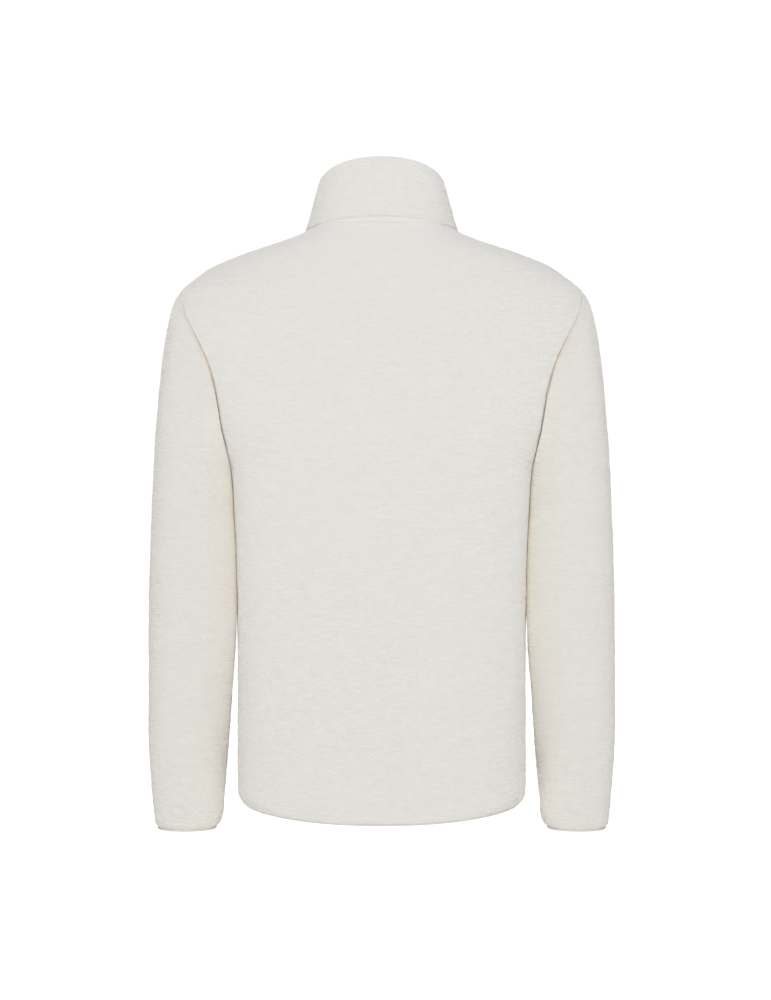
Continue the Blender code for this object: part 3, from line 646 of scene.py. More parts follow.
# ---------------------------------------------------------------- finishes
CURL_SQUEEZE = (1.0, 1.0, 3.7)         # curls are this much flatter along Z than they are wide
CURL_STEEPNESS = 5.0
CURL_ROUNDNESS = 0.55
FIBRES_PER_CURL = 9.0
FIBRE_HEIGHT = 0.34                    # share of a curl's height
SCRATCH_STRETCH = (1.0, 1.0, 0.06)     # scratches run along Z
MOTTLE = 0.99                          # the pile's slow change of brightness
# How far the pile's valleys are painted towards the darker, warmer colour: painted shade.
VALLEY_SHADE_STRENGTH = 0.15


def new_group(name, inputs, outputs):
    """An empty shader node group with named number, colour or vector sockets."""
    group = bpy.data.node_groups.new(name, "ShaderNodeTree")
    for label, kind, value in inputs:
        socket = group.interface.new_socket(label, in_out="INPUT", socket_type=kind)
        if value is not None:
            socket.default_value = value
    for label, kind in outputs:
        group.interface.new_socket(label, in_out="OUTPUT", socket_type=kind)
    return group, group.nodes.new("NodeGroupInput"), group.nodes.new("NodeGroupOutput")


def feed(tree, socket, value):
    """Links an output to a socket, or sets the socket to a value."""
    if isinstance(value, bpy.types.NodeSocket):
        tree.links.new(value, socket)
    else:
        socket.default_value = value


def node(tree, kind, sockets=None, **settings):
    """A node with its settings, and with values or links for its sockets."""
    made = tree.nodes.new(kind)
    for name, value in settings.items():
        setattr(made, name, value)
    for socket, value in (sockets or {}).items():
        feed(tree, made.inputs[socket], value)
    return made


def math_node(tree, operation, first, second=0.0, clamp=False):
    """The output of a Math node on two values or links."""
    made = node(tree, "ShaderNodeMath", operation=operation, use_clamp=clamp)
    for socket, value in zip(made.inputs, (first, second)):
        feed(tree, socket, value)
    return made.outputs[0]


def make_curl_group():
    """Curly pile: a height of lumps and fibres, a mask of the valleys and a slow mottle."""
    group, given, result = new_group(
        "curly_pile",
        [("Vector", "NodeSocketVector", None), ("Curl", "NodeSocketFloat", 70.0)],
        [(name, "NodeSocketFloat") for name in ("Height", "Valley", "Mottle")],
    )
    flat = node(group, "ShaderNodeVectorMath", operation="MULTIPLY",
                sockets={0: given.outputs["Vector"], 1: CURL_SQUEEZE})
    lumps = node(group, "ShaderNodeTexNoise", sockets={
        "Vector": flat.outputs[0], "Scale": given.outputs["Curl"], "Detail": 1.0,
        "Roughness": 0.5, "Distortion": 0.5})
    billow = math_node(group, "ABSOLUTE", math_node(group, "SUBTRACT", lumps.outputs[0], 0.5))
    steep = math_node(group, "MULTIPLY", billow, CURL_STEEPNESS, clamp=True)
    round_lumps = math_node(group, "POWER", steep, CURL_ROUNDNESS)
    fine_scale = math_node(group, "MULTIPLY", given.outputs["Curl"], FIBRES_PER_CURL)
    fibres = node(group, "ShaderNodeTexNoise", sockets={
        "Vector": given.outputs["Vector"], "Scale": fine_scale, "Detail": 3.0, "Roughness": 0.6})
    fibre_part = math_node(group, "MULTIPLY", fibres.outputs[0], FIBRE_HEIGHT)
    height = math_node(group, "ADD", round_lumps, fibre_part)
    slow = node(group, "ShaderNodeTexNoise", sockets={
        "Vector": given.outputs["Vector"], "Scale": 34.0, "Detail": 4.0, "Roughness": 0.62})
    valley = math_node(group, "SUBTRACT", 1.0, round_lumps, clamp=True)
    group.links.new(height, result.inputs["Height"])
    group.links.new(valley, result.inputs["Valley"])
    group.links.new(slow.outputs[0], result.inputs["Mottle"])
    return group


def make_weave_group():
    """Plain weave of a narrow tape or binding: crossed ribs, as a height and a mask."""
    group, given, result = new_group(
        "narrow_weave",
        [("Vector", "NodeSocketVector", None), ("Threads", "NodeSocketFloat", 1500.0)],
        [("Height", "NodeSocketFloat"), ("Gap", "NodeSocketFloat")],
    )
    ribs = []
    for direction in ("Z", "X"):
        wave = node(group, "ShaderNodeTexWave", wave_type="BANDS", bands_direction=direction,
                    sockets={"Vector": given.outputs["Vector"], "Scale": given.outputs["Threads"],
                             "Distortion": 0.6, "Detail": 1.0})
        ribs.append(wave.outputs["Fac"])
    height = math_node(group, "MULTIPLY", math_node(group, "ADD", *ribs), 0.5)
    gap = math_node(group, "SUBTRACT", 1.0, height, clamp=True)
    group.links.new(height, result.inputs["Height"])
    group.links.new(gap, result.inputs["Gap"])
    return group


def make_wear_group():
    """Handling marks on metal: fine scratches and slow stains."""
    group, given, result = new_group(
        "handled_metal",
        [("Vector", "NodeSocketVector", None), ("Scratches", "NodeSocketFloat", 900.0)],
        [("Height", "NodeSocketFloat"), ("Stain", "NodeSocketFloat")],
    )
    drawn = node(group, "ShaderNodeVectorMath", operation="MULTIPLY",
                 sockets={0: given.outputs["Vector"], 1: SCRATCH_STRETCH})
    lines = node(group, "ShaderNodeTexNoise", sockets={
        "Vector": drawn.outputs[0], "Scale": given.outputs["Scratches"], "Detail": 3.0})
    stain = node(group, "ShaderNodeTexNoise", sockets={
        "Vector": given.outputs["Vector"], "Scale": 180.0, "Detail": 4.0, "Roughness": 0.6})
    group.links.new(lines.outputs[0], result.inputs["Height"])
    group.links.new(stain.outputs[0], result.inputs["Stain"])
    return group


def new_material(name, roughness, metallic=0.0):
    """A material with its tree, its shader and the place on the piece that patterns read."""
    finish = bpy.data.materials.new(name)
    finish.use_nodes = True
    shader = finish.node_tree.nodes["Principled BSDF"]
    shader.inputs["Roughness"].default_value = roughness
    shader.inputs["Metallic"].default_value = metallic
    place = finish.node_tree.nodes.new("ShaderNodeTexCoord").outputs["Object"]
    return finish, finish.node_tree, shader, place


def mixed(tree, factor, first, second):
    """A colour between two, by a factor socket."""
    made = node(tree, "ShaderNodeMix", data_type="RGBA")
    tree.links.new(factor, made.inputs["Factor"])
    colour_sockets = made.inputs[6], made.inputs[7]
    for socket, value in zip(colour_sockets, (first, second)):
        linked = isinstance(value, bpy.types.NodeSocket)
        feed(tree, socket, value if linked else (*value, 1.0))
    return made.outputs[2]


def fleece(name, group, light, deep, bump=0.56, curl=78.0):
    """Curly sherpa pile: lighter tufts, painted warm shade in its valleys, a soft sheen on the
    fibre ends.
    """
    finish, tree, shader, place = new_material(name, 0.96)
    curls = node(tree, "ShaderNodeGroup", node_tree=group,
                 sockets={"Vector": place, "Curl": curl})
    dimmer = [channel * MOTTLE for channel in light]
    mottled = mixed(tree, curls.outputs["Mottle"], dimmer, light)
    # Painted shade: the valleys between the curls are mixed towards the darker colour.
    shade = math_node(tree, "MULTIPLY", curls.outputs["Valley"], VALLEY_SHADE_STRENGTH)
    curled = mixed(tree, shade, mottled, deep)
    # Painted shade: the seam_shade mark mixes the colour towards the warm shade colour.
    seam = node(tree, "ShaderNodeAttribute", attribute_name=SEAM_SHADE).outputs["Fac"]
    tree.links.new(mixed(tree, seam, curled, PAINTED_SHADE_COLOUR), shader.inputs["Base Color"])
    calm = node(tree, "ShaderNodeAttribute", attribute_name=PILE_CALM).outputs["Fac"]
    lively = math_node(tree, "SUBTRACT", 1.0, calm)
    relief = node(tree, "ShaderNodeBump", sockets={
        "Strength": bump, "Distance": 0.0011,
        "Height": math_node(tree, "MULTIPLY", curls.outputs["Height"], lively)})
    tree.links.new(relief.outputs[0], shader.inputs["Normal"])
    shader.inputs["Sheen Weight"].default_value = 0.5
    shader.inputs["Sheen Roughness"].default_value = 0.55
    shader.inputs["Sheen Tint"].default_value = (1.0, 0.95, 0.87, 1.0)
    shader.inputs["Specular IOR Level"].default_value = 0.15
    shader.inputs["Diffuse Roughness"].default_value = 1.0
    return finish


def woven(name, group, light, deep, threads=1500.0):
    """Narrow woven cloth or thread, with painted shade in the gaps of its weave."""
    finish, tree, shader, place = new_material(name, 0.8)
    weave = node(tree, "ShaderNodeGroup", node_tree=group,
                 sockets={"Vector": place, "Threads": threads})
    # Painted shade: the gaps between the threads are mixed towards the darker colour.
    tree.links.new(mixed(tree, weave.outputs["Gap"], light, deep), shader.inputs["Base Color"])
    relief = node(tree, "ShaderNodeBump", sockets={
        "Strength": 0.35, "Distance": 0.0002, "Height": weave.outputs["Height"]})
    tree.links.new(relief.outputs[0], shader.inputs["Normal"])
    shader.inputs["Sheen Weight"].default_value = 0.1
    return finish


def metal(name, group, bright, dull, roughness):
    """Handled metal: bright where it is stained least, with fine scratches along it."""
    finish, tree, shader, place = new_material(name, roughness, 1.0)
    wear = node(tree, "ShaderNodeGroup", node_tree=group,
                sockets={"Vector": place, "Scratches": 900.0})
    tree.links.new(mixed(tree, wear.outputs["Stain"], dull, bright), shader.inputs["Base Color"])
    ground = node(tree, "ShaderNodeMapRange", sockets={
        "Value": wear.outputs["Stain"], "To Min": roughness - 0.08, "To Max": roughness + 0.12})
    tree.links.new(ground.outputs[0], shader.inputs["Roughness"])
    relief = node(tree, "ShaderNodeBump", sockets={
        "Strength": 0.12, "Distance": 0.0001, "Height": wear.outputs["Height"]})
    tree.links.new(relief.outputs[0], shader.inputs["Normal"])
    return finish


CURLS = make_curl_group()
WEAVE = make_weave_group()
WEAR = make_wear_group()
FLEECE = fleece("cream_fleece", CURLS, (0.888, 0.883, 0.864), (0.805, 0.775, 0.715))
# The sleeve fleece is the cream fleece painted a little darker and warmer: painted shade. The
# collar and neck strip fleeces are painted a little lighter: painted light.
SLEEVE_FLEECE = fleece("sleeve_fleece", CURLS, (0.880, 0.870, 0.846), (0.798, 0.765, 0.702))
COLLAR_FLEECE = fleece("collar_fleece", CURLS, (0.890, 0.885, 0.866), (0.812, 0.784, 0.725))
STRIP_FLEECE = fleece(
    "neck_strip_fleece", CURLS, (0.895, 0.889, 0.868), (0.850, 0.830, 0.785), bump=0.25
)
BINDING = woven("binding_cloth", WEAVE, (0.868, 0.848, 0.800), (0.818, 0.788, 0.722), 900.0)
TAPE = woven("zip_tape_cloth", WEAVE, (0.700, 0.680, 0.625), (0.560, 0.535, 0.470))
THREAD = woven("stitching_thread", WEAVE, (0.780, 0.760, 0.710), (0.660, 0.630, 0.570), 2600.0)
TOOTH = metal("zip_tooth_silver", WEAR, (0.780, 0.770, 0.745), (0.600, 0.590, 0.565), 0.30)
SILVER = metal("slider_silver", WEAR, (0.760, 0.750, 0.725), (0.580, 0.570, 0.545), 0.28)


def belongs(piece, *nodes, slot=None):
    """The piece rides with the jacket and stands for these nodes."""
    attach(piece, "jacket")
    if nodes:
        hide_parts(*nodes)


# ---------------------------------------------------------------- panels
# Heights of the seam's depth beside the body's edge: full from this far above the underarm, and
# this share of it from the underarm down.
SIDE_SEAM = {"full_from": 0.0500, "least": 0.3}

# The stretch of the side where the sleeve leans on the body: how it fades in below the underarm
# and out at its foot, how wide it is, and how far its pile is pressed down and its seam closed.
PRESSED = {
    "fade_in": 0.0200, "foot": -0.4900, "fade_out": 0.0300, "width": 0.0350,
    "depth": 0.0001, "calm": 0.97, "closed": 0.85,
}
SHOULDER_SINK = {"panel": 0.0012, "sleeve": 0.0016}    # pile lies flatter where it faces up

NECK_CALM = {"middle": np.array((0.0, 0.0850, 0.0)), "reach": 0.1300, "full": 1.25, "most": 0.55}

# How folds and troughs taper towards their ends: the least share of their depth, and the stretch
# of a half wave that they follow.
TAPER = {"least": 0.35, "start": 0.1, "run": 0.8}

# Shallow folds of the body, as lines across a face: ends, depth and width.
BODY_FOLDS = table(
    "face x1 z1 x2 z2 depth width",
    (BACK, 0.1270, -0.6520, 0.0760, -0.6650, 0.0016, 0.0060),
    (BACK, -0.1240, -0.6530, -0.0820, -0.6640, 0.0014, 0.0060),
    (BACK, 0.1620, -0.2450, 0.1180, -0.2980, 0.0012, 0.0170),
    (BACK, -0.1600, -0.2380, -0.1210, -0.3020, 0.0013, 0.0180),
    (BACK, 0.1560, -0.4300, 0.1040, -0.4560, 0.0009, 0.0200),
    (BACK, -0.1540, -0.4720, -0.1080, -0.4500, 0.0009, 0.0190),
    (FRONT, 0.1650, -0.2400, 0.0950, -0.2050, 0.0030, 0.0160),
    (FRONT, -0.1660, -0.2480, -0.1000, -0.2160, 0.0028, 0.0170),
    (FRONT, 0.1500, -0.3600, 0.0700, -0.3800, 0.0018, 0.0200),
    (FRONT, -0.1480, -0.4200, -0.0640, -0.4060, 0.0019, 0.0210),
    (FRONT, 0.1420, -0.5600, 0.0600, -0.5450, 0.0015, 0.0190),
    (FRONT, -0.1300, -0.6480, -0.0800, -0.6560, 0.0014, 0.0060),
    (FRONT, 0.1320, -0.6460, 0.0720, -0.6540, 0.0015, 0.0060),
)


def fold_depth(points, folds, chosen):
    """Depth of the chosen folds at the points: each one tapers towards its ends."""
    depth = np.zeros(points.shape[:-1])
    place = points[..., (0, 2)]
    columns = [folds[name][chosen] for name in ("x1", "z1", "x2", "z2", "depth", "width")]
    for x1, z1, x2, z2, deep, width in zip(*columns):
        start = np.array((x1, z1))
        run = np.array((x2 - x1, z2 - z1))
        t = np.clip((place - start) @ run / (run @ run), 0, 1)
        away = np.linalg.norm(place - start - t[..., None] * run, axis=-1)
        wave = np.sin(math.pi * (TAPER["start"] + TAPER["run"] * t))
        taper = TAPER["least"] + (1 - TAPER["least"]) * wave
        depth += deep * taper * bell(away, width)
    return depth


def neck_smoothness(points):
    """The pile lies flatter on the upper back, near the neck."""
    near = np.linalg.norm(points - NECK_CALM["middle"], axis=-1) / NECK_CALM["reach"]
    return NECK_CALM["most"] * np.clip(NECK_CALM["full"] - near, 0, 1)


def panel_face(outer, out, face, side_borders):
    """The panel's outer points with their pile, folds and sunken borders, and their marks.

    The side borders are given as for border_distance: True for one at the last column.
    """
    z = outer[..., 2]
    to_neck = border_distance(outer, 0, from_end=True)
    to_hem = border_distance(outer, 0, from_end=False)
    # Painted warm shade along the neck seam. The loop below adds it along the side seams.
    shade = seam_shade(to_neck, "panel_neck")
    calm = neck_smoothness(outer)
    sink = sunk(to_neck, **BORDERS["panel_neck"]) + sunk(to_hem, **BORDERS["panel_hem"])
    sink += SHOULDER_SINK["panel"] * np.clip(out[..., 2], 0, 1)
    sink += fold_depth(outer, BODY_FOLDS, BODY_FOLDS["face"] == face)
    beside_sleeve = ramp(UNDERARM_HEIGHT - z, PRESSED["fade_in"])
    beside_sleeve = beside_sleeve * ramp(z - PRESSED["foot"], PRESSED["fade_out"])
    deep = ramp(z - UNDERARM_HEIGHT, SIDE_SEAM["full_from"], SIDE_SEAM["least"])
    open_seam = deep * seam_depth(outer) * (1 - PRESSED["closed"] * beside_sleeve)
    for from_end in side_borders:
        distance = border_distance(outer, 1, from_end)
        pressed = beside_sleeve * np.exp(-((distance / PRESSED["width"]) ** 4))
        sink += open_seam * sunk(distance, **BORDERS["panel_side"])
        sink += PRESSED["depth"] * pressed
        shade = np.maximum(shade, seam_depth(outer) * seam_shade(distance, "panel_side"))
        calm = np.maximum(calm, PRESSED["calm"] * pressed)
    raised = outer + out * (pile(outer, calm) - sink)[..., None]
    return raised, {SEAM_SHADE: shade, PILE_CALM: calm}


def both_halves(half):
    """A whole panel from its left half, from the left edge to the right edge."""
    return np.concatenate((half[:, :0:-1], mirrored(half)), axis=1)


def make_back():
    *half, seams = panel_walls(BACK, 0.0)
    outer, inner, out = (both_halves(grid) for grid in half)
    raised, marks = panel_face(outer, out, BACK, side_borders=(False, True))
    piece = cloth("back_panel", raised, inner, FLEECE, marks=marks)
    belongs(piece, "back")
    return outer, seams


def make_fronts():
    """Two fronts, whose edges roll over beside the zip and dip along its stitching."""
    outer, inner, out, seams = panel_walls(FRONT, ZIP_GAP)
    to_zip = border_distance(outer, 1, from_end=False)
    stitched = ZIP_STITCH["depth"] * bell(to_zip - ZIP_STITCH["edge"], ZIP_STITCH["width"])
    edge_sink = sunk(to_zip, **BORDERS["panel_zip"]) + stitched
    for side, place in SIDES:
        raised, marks = panel_face(place(outer), place(out), FRONT, side_borders=(True,))
        raised -= place(out) * edge_sink[..., None]
        piece = cloth(f"front_panel_{side}", raised, place(inner), FLEECE, marks=marks)
        belongs(piece, f"front_{side}")
    return outer, inner, out, seams


# ---------------------------------------------------------------- sleeves
CUFF_SECTION = 3           # row of SLEEVE_SECTIONS below which the sleeve draws in to its cuff
TROUGH_FADE = {"from_border": 0.0200, "from_armhole": 0.0500}
TINY = 1e-6

# How the sleeve's inner side lies against the body: touching down to one height, free of it from
# a second, and round again at a third.
REST = {
    "touching": -0.4400, "apart": -0.4640, "round": -0.6400,
    "clear": 0.0001,           # gap to the body where it touches
    "flat": 0.0120,            # cloth this near to the body is drawn flat
    "flat_at_top": 0.6,        # share of that at the underarm
    "flat_grows": 0.0900,      # way down over which it becomes whole
    "bend": 0.0006,            # length over which the flat part turns into the rest
    "opens": 1.5,              # how much faster the cloth parts from the body past the flat part
    "lean": 0.0680,            # sideways slope of the flat part once it is free
    "slope": 1.1,              # steepest pull towards the body below the armhole
    "behind": 0.0040,          # the back half lies flat from this far behind the middle
    "behind_run": 0.0120,
    "front_run": 0.1300,       # height over which the front half comes to lie flat
    "inner_side": 0.2100,      # cloth beyond this distance from the middle isn't moved
    "inner_run": 0.0200,
}

# Painted shade and pile where the sleeve leans on the body.
LEANING = {
    "top": UNDERARM_HEIGHT + 0.0500, "foot": -0.6400, "fade": 0.0800,
    "flat_pile": 0.0005, "pile_rises": 0.0060, "least_pile": 0.05,
}


def armhole_ring():
    """The armhole's seam points and their inward directions, once round from the underarm."""
    back = armhole_curve(BACK, ARMHOLE_ROWS)
    front = armhole_curve(FRONT, ARMHOLE_ROWS)
    ring = np.concatenate((back, front[-2:0:-1]))
    inward = unit(ARMHOLE_HEART - ring)
    run = np.roll(ring, -1, axis=0) - np.roll(ring, 1, axis=0)
    across = unit(np.cross(run, inward))
    across *= np.sign(across[:, :1])
    return ring, inward, across


def sleeve_ring(z, turn):
    """Points of the sleeve's section at height z. Turn runs from the inner edge by the back."""
    inner = smooth(SLEEVE_SECTIONS, "inner", z)
    outer = smooth(SLEEVE_SECTIONS, "outer", z)
    middle = smooth(SLEEVE_SECTIONS, "middle", z)
    deep = smooth(SLEEVE_SECTIONS, "half_depth", z)
    power = 2 / SLEEVE_SQUARENESS
    sine, cosine = np.sin(turn), np.cos(turn)
    across = np.sign(sine) * np.abs(sine) ** power
    along = np.sign(cosine) * np.abs(cosine) ** power
    return stack((inner + outer) / 2 + (outer - inner) / 2 * across, middle + deep * along, z)


def cap_points(ring, turn, share):
    """The sleeve between the armhole and the bicep, a share of the way down."""
    end = sleeve_ring(np.full(len(turn), BICEP_HEIGHT), turn)
    top = np.clip(np.sin(turn), 0, 1) ** 2
    under = np.clip(-np.sin(turn), 0, 1) ** 2
    side = 1 - top - under
    leave = np.zeros_like(ring)
    arrive = np.zeros_like(ring)
    for weight, place in ((top, "top"), (side, "side"), (under, "under")):
        way = np.tile(SLEEVE_CAP[place]["leave"], (len(turn), 1))
        way[:, 1] *= np.sign(np.cos(turn))
        leave += weight[:, None] * way
        out, up = SLEEVE_CAP[place]["arrive"]
        arrive += weight[:, None] * np.array((out, 0.0, up))
    first, second = ring + leave, end + arrive
    t = share
    return (
        ring * (1 - t) ** 3
        + first * 3 * t * (1 - t) ** 2
        + second * 3 * t * t * (1 - t)
        + end * t ** 3
    )


def trough_depth(points, left):
    """Depth of the soft troughs at the sleeve's points."""
    middle = smooth(SLEEVE_SECTIONS, "middle", points[..., 2])
    depth = np.zeros(points.shape[:-1])
    for face in (BACK, FRONT):
        chosen = (SLEEVE_TROUGHS["left"] == int(left)) & (SLEEVE_TROUGHS["face"] == face)
        on_face = ramp(face * (points[..., 1] - middle), TROUGH_FADE["from_border"])
        depth += on_face * fold_depth(points, SLEEVE_TROUGHS, chosen)
    return depth


def gap_to_body(points):
    """How far the sleeve's points stand out from the body's side."""
    y, z = points[..., 1], points[..., 2]
    depth = np.where(y > 0, form_depth(z, BACK), form_depth(z, FRONT))
    share = np.clip(np.abs(y) / depth, 0, 1)
    return points[..., 0] - side_reach(z) * section_share(share, z)


def soft_least(first, second):
    """The smaller of two distances, with a round turn where they are alike."""
    first, second = np.maximum(first, TINY), np.maximum(second, TINY)
    return (first ** -3 + second ** -3) ** (-1 / 3)


def rested(points):
    """The sleeve's inner side lies softly against the body, from the underarm down.

    Lower down it comes away, and its flattened inner side turns round again.
    """
    x, y, z = points[..., 0], points[..., 1], points[..., 2]
    gap = gap_to_body(points)
    middle = smooth(SLEEVE_SECTIONS, "middle", z)
    side = smooth(SLEEVE_SECTIONS, "inner", z) - REST["lean"] * (y - middle)
    nearest = gap - (x - side)
    apart = ramp(REST["touching"] - z, REST["touching"] - REST["apart"])
    edge = REST["clear"] + apart * (nearest - REST["clear"])
    flat = REST["flat"] * ramp(z - REST["round"], REST["apart"] - REST["round"])
    grown = ramp(UNDERARM_HEIGHT - z, REST["flat_grows"])
    flat = flat * (REST["flat_at_top"] + (1 - REST["flat_at_top"]) * grown)
    behind = ramp(y - middle - REST["behind"], REST["behind_run"])
    leaving = ramp(z - REST["apart"], REST["front_run"])
    flat = flat * (behind + (1 - behind) * leaving * leaving * (3 - 2 * leaving))
    past_flat = np.log1p(np.exp((gap - edge - flat) / REST["bend"])) * REST["bend"]
    pull = gap - edge - REST["opens"] * past_flat
    pull = soft_least(pull, REST["slope"] * border_distance(points, 0, from_end=False))
    moved = points.copy()
    moved[..., 0] -= pull * ramp(REST["inner_side"] - x, REST["inner_run"]) * (flat > 0)
    return moved


def sleeve_heights():
    """Heights of the rows below the bicep, with finer rows at the cuff."""
    arm = np.linspace(BICEP_HEIGHT, SLEEVE_SECTIONS["height"][CUFF_SECTION], SLEEVE_ARM_ROWS + 1)
    end = SLEEVE_SECTIONS["height"][0] + BINDING_HEIGHT
    cuff = np.linspace(arm[-1], end, CUFF_ROWS + 1)
    return np.concatenate((arm[1:], cuff[1:]))


def sleeve_walls(left):
    """Outer and inner points of a sleeve and its normals, on the form's left side."""
    ring, inward, across = armhole_ring()
    columns = len(ring)
    turn = -math.pi / 2 + 2 * math.pi * np.arange(columns) / columns
    rows = [cap_points(ring, turn, k / SLEEVE_CAP_ROWS) for k in range(SLEEVE_CAP_ROWS + 1)]
    rows += [sleeve_ring(np.full(columns, z), turn) for z in sleeve_heights()]
    outer = np.array(rows)
    middle = outer.mean(axis=1, keepdims=True)
    out = normals(outer, middle, closed=True)
    fade = ramp(border_distance(outer, 0, from_end=False), TROUGH_FADE["from_armhole"])
    outer = rested(outer - (fade * trough_depth(outer, left))[..., None] * out)
    out = normals(outer, middle, closed=True)
    inner = outer - WALL * out
    inner[0] = outer[0] + WALL * inward
    # The outer edges of sleeve and panel meet, so that no slit shows. The inner ones are
    # SEAM_GAP apart.
    outer[0] -= SEAM_GAP / 2 * across
    inner[0] += SEAM_GAP / 2 * across
    return outer, inner, out


def sleeve_shade(outer, gap, from_seam):
    """Painted shade at the armhole seam, where the sleeve leans on the body, and along its inner
    edge.
    """
    x, z = outer[..., 0], outer[..., 2]
    near = np.maximum(gap, 0)
    from_edge = np.maximum(x - smooth(SLEEVE_SECTIONS, "inner", z), 0)
    depth = seam_depth(outer)
    below = ramp(LEANING["top"] - z, LEANING["fade"])
    above_cuff = ramp(z - LEANING["foot"], LEANING["fade"])
    return np.max((
        depth * seam_shade(from_seam, "armhole"),
        depth * seam_shade(from_seam, "armhole_wide"),
        below * seam_shade(near, "against_body"),
        below * seam_shade(near, "against_body_wide"),
        below * above_cuff * seam_shade(from_edge, "sleeve_inner_edge"),
    ), axis=0)


def make_sleeve(side, place):
    outer, inner, out = sleeve_walls(side == "left")
    gap = gap_to_body(outer)
    from_seam = border_distance(outer, 0, from_end=False)
    shade = sleeve_shade(outer, gap, from_seam)
    free = ramp(gap - LEANING["flat_pile"], LEANING["pile_rises"], LEANING["least_pile"])
    sink = seam_depth(outer) * sunk(from_seam, **BORDERS["sleeve_armhole"])
    sink += sunk(border_distance(outer, 0, from_end=True), **BORDERS["sleeve_cuff"])
    sink += SHOULDER_SINK["sleeve"] * np.clip(out[..., 2], 0, 1)
    outer, inner, out = place(outer), place(inner), place(out)
    raised = outer + out * (free * pile(outer) - sink)[..., None]
    piece = cloth(
        f"sleeve_cloth_{side}", raised, inner, SLEEVE_FLEECE, closed=True,
        marks={SEAM_SHADE: shade},
    )
    belongs(piece, f"sleeve_{side}")
    make_cuff_binding(side, outer[-1], inner[-1])


def binding_rows(outer_line, inner_line, down):
    """Rows of a narrow bound edge, rounded towards its lower side."""
    inwards = unit(inner_line - outer_line)
    outer, inner = [], []
    for share, taper in BINDING_PROFILE:
        drop = (SEAM_GAP / 2 + share * (BINDING_HEIGHT - SEAM_GAP / 2)) * down
        outer.append(outer_line + drop + taper * BINDING_TAPER * inwards)
        inner.append(inner_line + drop - taper * BINDING_TAPER * inwards)
    return np.array(outer), np.array(inner)


def make_cuff_binding(side, outer_line, inner_line):
    outer, inner = binding_rows(outer_line, inner_line, np.array((0.0, 0.0, -1.0)))
    piece = cloth(f"cuff_edge_{side}", outer, inner, BINDING, closed=True, step=1)
    belongs(piece, f"cuff_binding_{side}")


# ---------------------------------------------------------------- hem, collar and neck strip
COLLAR_ROW_POWER = 0.9     # crowds the collar's rows towards its top
STRIP_SECTION = {"start": 0.16, "run": 0.80, "roundness": 0.6}      # part of a half wave
STRIP_END_SHADE = 0.3      # share of the strip's shade at its ends


def all_round(front, back):
    """Joins the left halves of front and back into one run: left front, back, right front."""
    left = np.concatenate((front, back[-2::-1]))
    return np.concatenate((left, mirrored(left)[-2::-1]))


def make_hem_binding(front, back):
    outer_line = all_round(front["hem_outer"], back["hem_outer"])
    inner_line = all_round(front["hem_inner"], back["hem_inner"])
    down = unit(all_round(front["hem_down"], back["hem_down"]))
    outer, inner = binding_rows(outer_line, inner_line, down)
    piece = cloth("hem_edge", outer, inner, BINDING, step=1)
    belongs(piece, "hem_binding")


def collar_top(neck):
    """The collar's top line above each point of the neck seam."""
    across = neck[:, 0] / NECK_HALF_WIDTH
    along = neck[:, 1] / np.where(neck[:, 1] > 0, NECK_REACH[BACK], NECK_REACH[FRONT])
    turn = np.arctan2(along, across)
    back = np.sin(turn)
    rise = COLLAR_TOP_HEIGHT["back"] - COLLAR_TOP_HEIGHT["side"]
    fall = COLLAR_TOP_HEIGHT["side"] - COLLAR_TOP_HEIGHT["front"]
    slope = (rise + fall) / 2
    curve = (rise - fall) / 2
    height = COLLAR_TOP_HEIGHT["side"] + slope * back + curve * back ** 2
    depth = np.where(back > 0, COLLAR_TOP["back"], COLLAR_TOP["front"])
    return stack(COLLAR_TOP["half_width"] * np.cos(turn), depth * back, height)


def collar_walls(front, back):
    """The collar's outer and inner points, its normals, its rows' shares of the way up, and how
    far each point lies below the top."""
    neck = all_round(front["neck_outer"], back["neck_outer"])
    ends = (0, -1)
    top = collar_top(neck)
    top[ends, 0] = neck[ends, 0]
    away = unit(stack(neck[:, 0], neck[:, 1], 0 * neck[:, 0]))
    away[ends, 0] = 0.0
    shares = np.sin(np.linspace(0, math.pi / 2, COLLAR_ROW_CELLS + 1)) ** COLLAR_ROW_POWER
    shares = shares[:, None, None]
    outer = neck + (top - neck) * shares + COLLAR_BULGE * np.sin(math.pi * shares) * away
    out = normals(outer, np.zeros(3))
    out[:, ends, 0] = 0.0
    out = unit(out)
    inner = outer - (WALL + (COLLAR_TOP_WALL - WALL) * shares) * out
    inner[0] = outer[0] + WALL * all_round(front["neck_in"], back["neck_in"])
    below_top = (1 - shares[..., 0]) * np.linalg.norm(top - neck, axis=1)
    return outer, inner, out, shares[..., 0], below_top


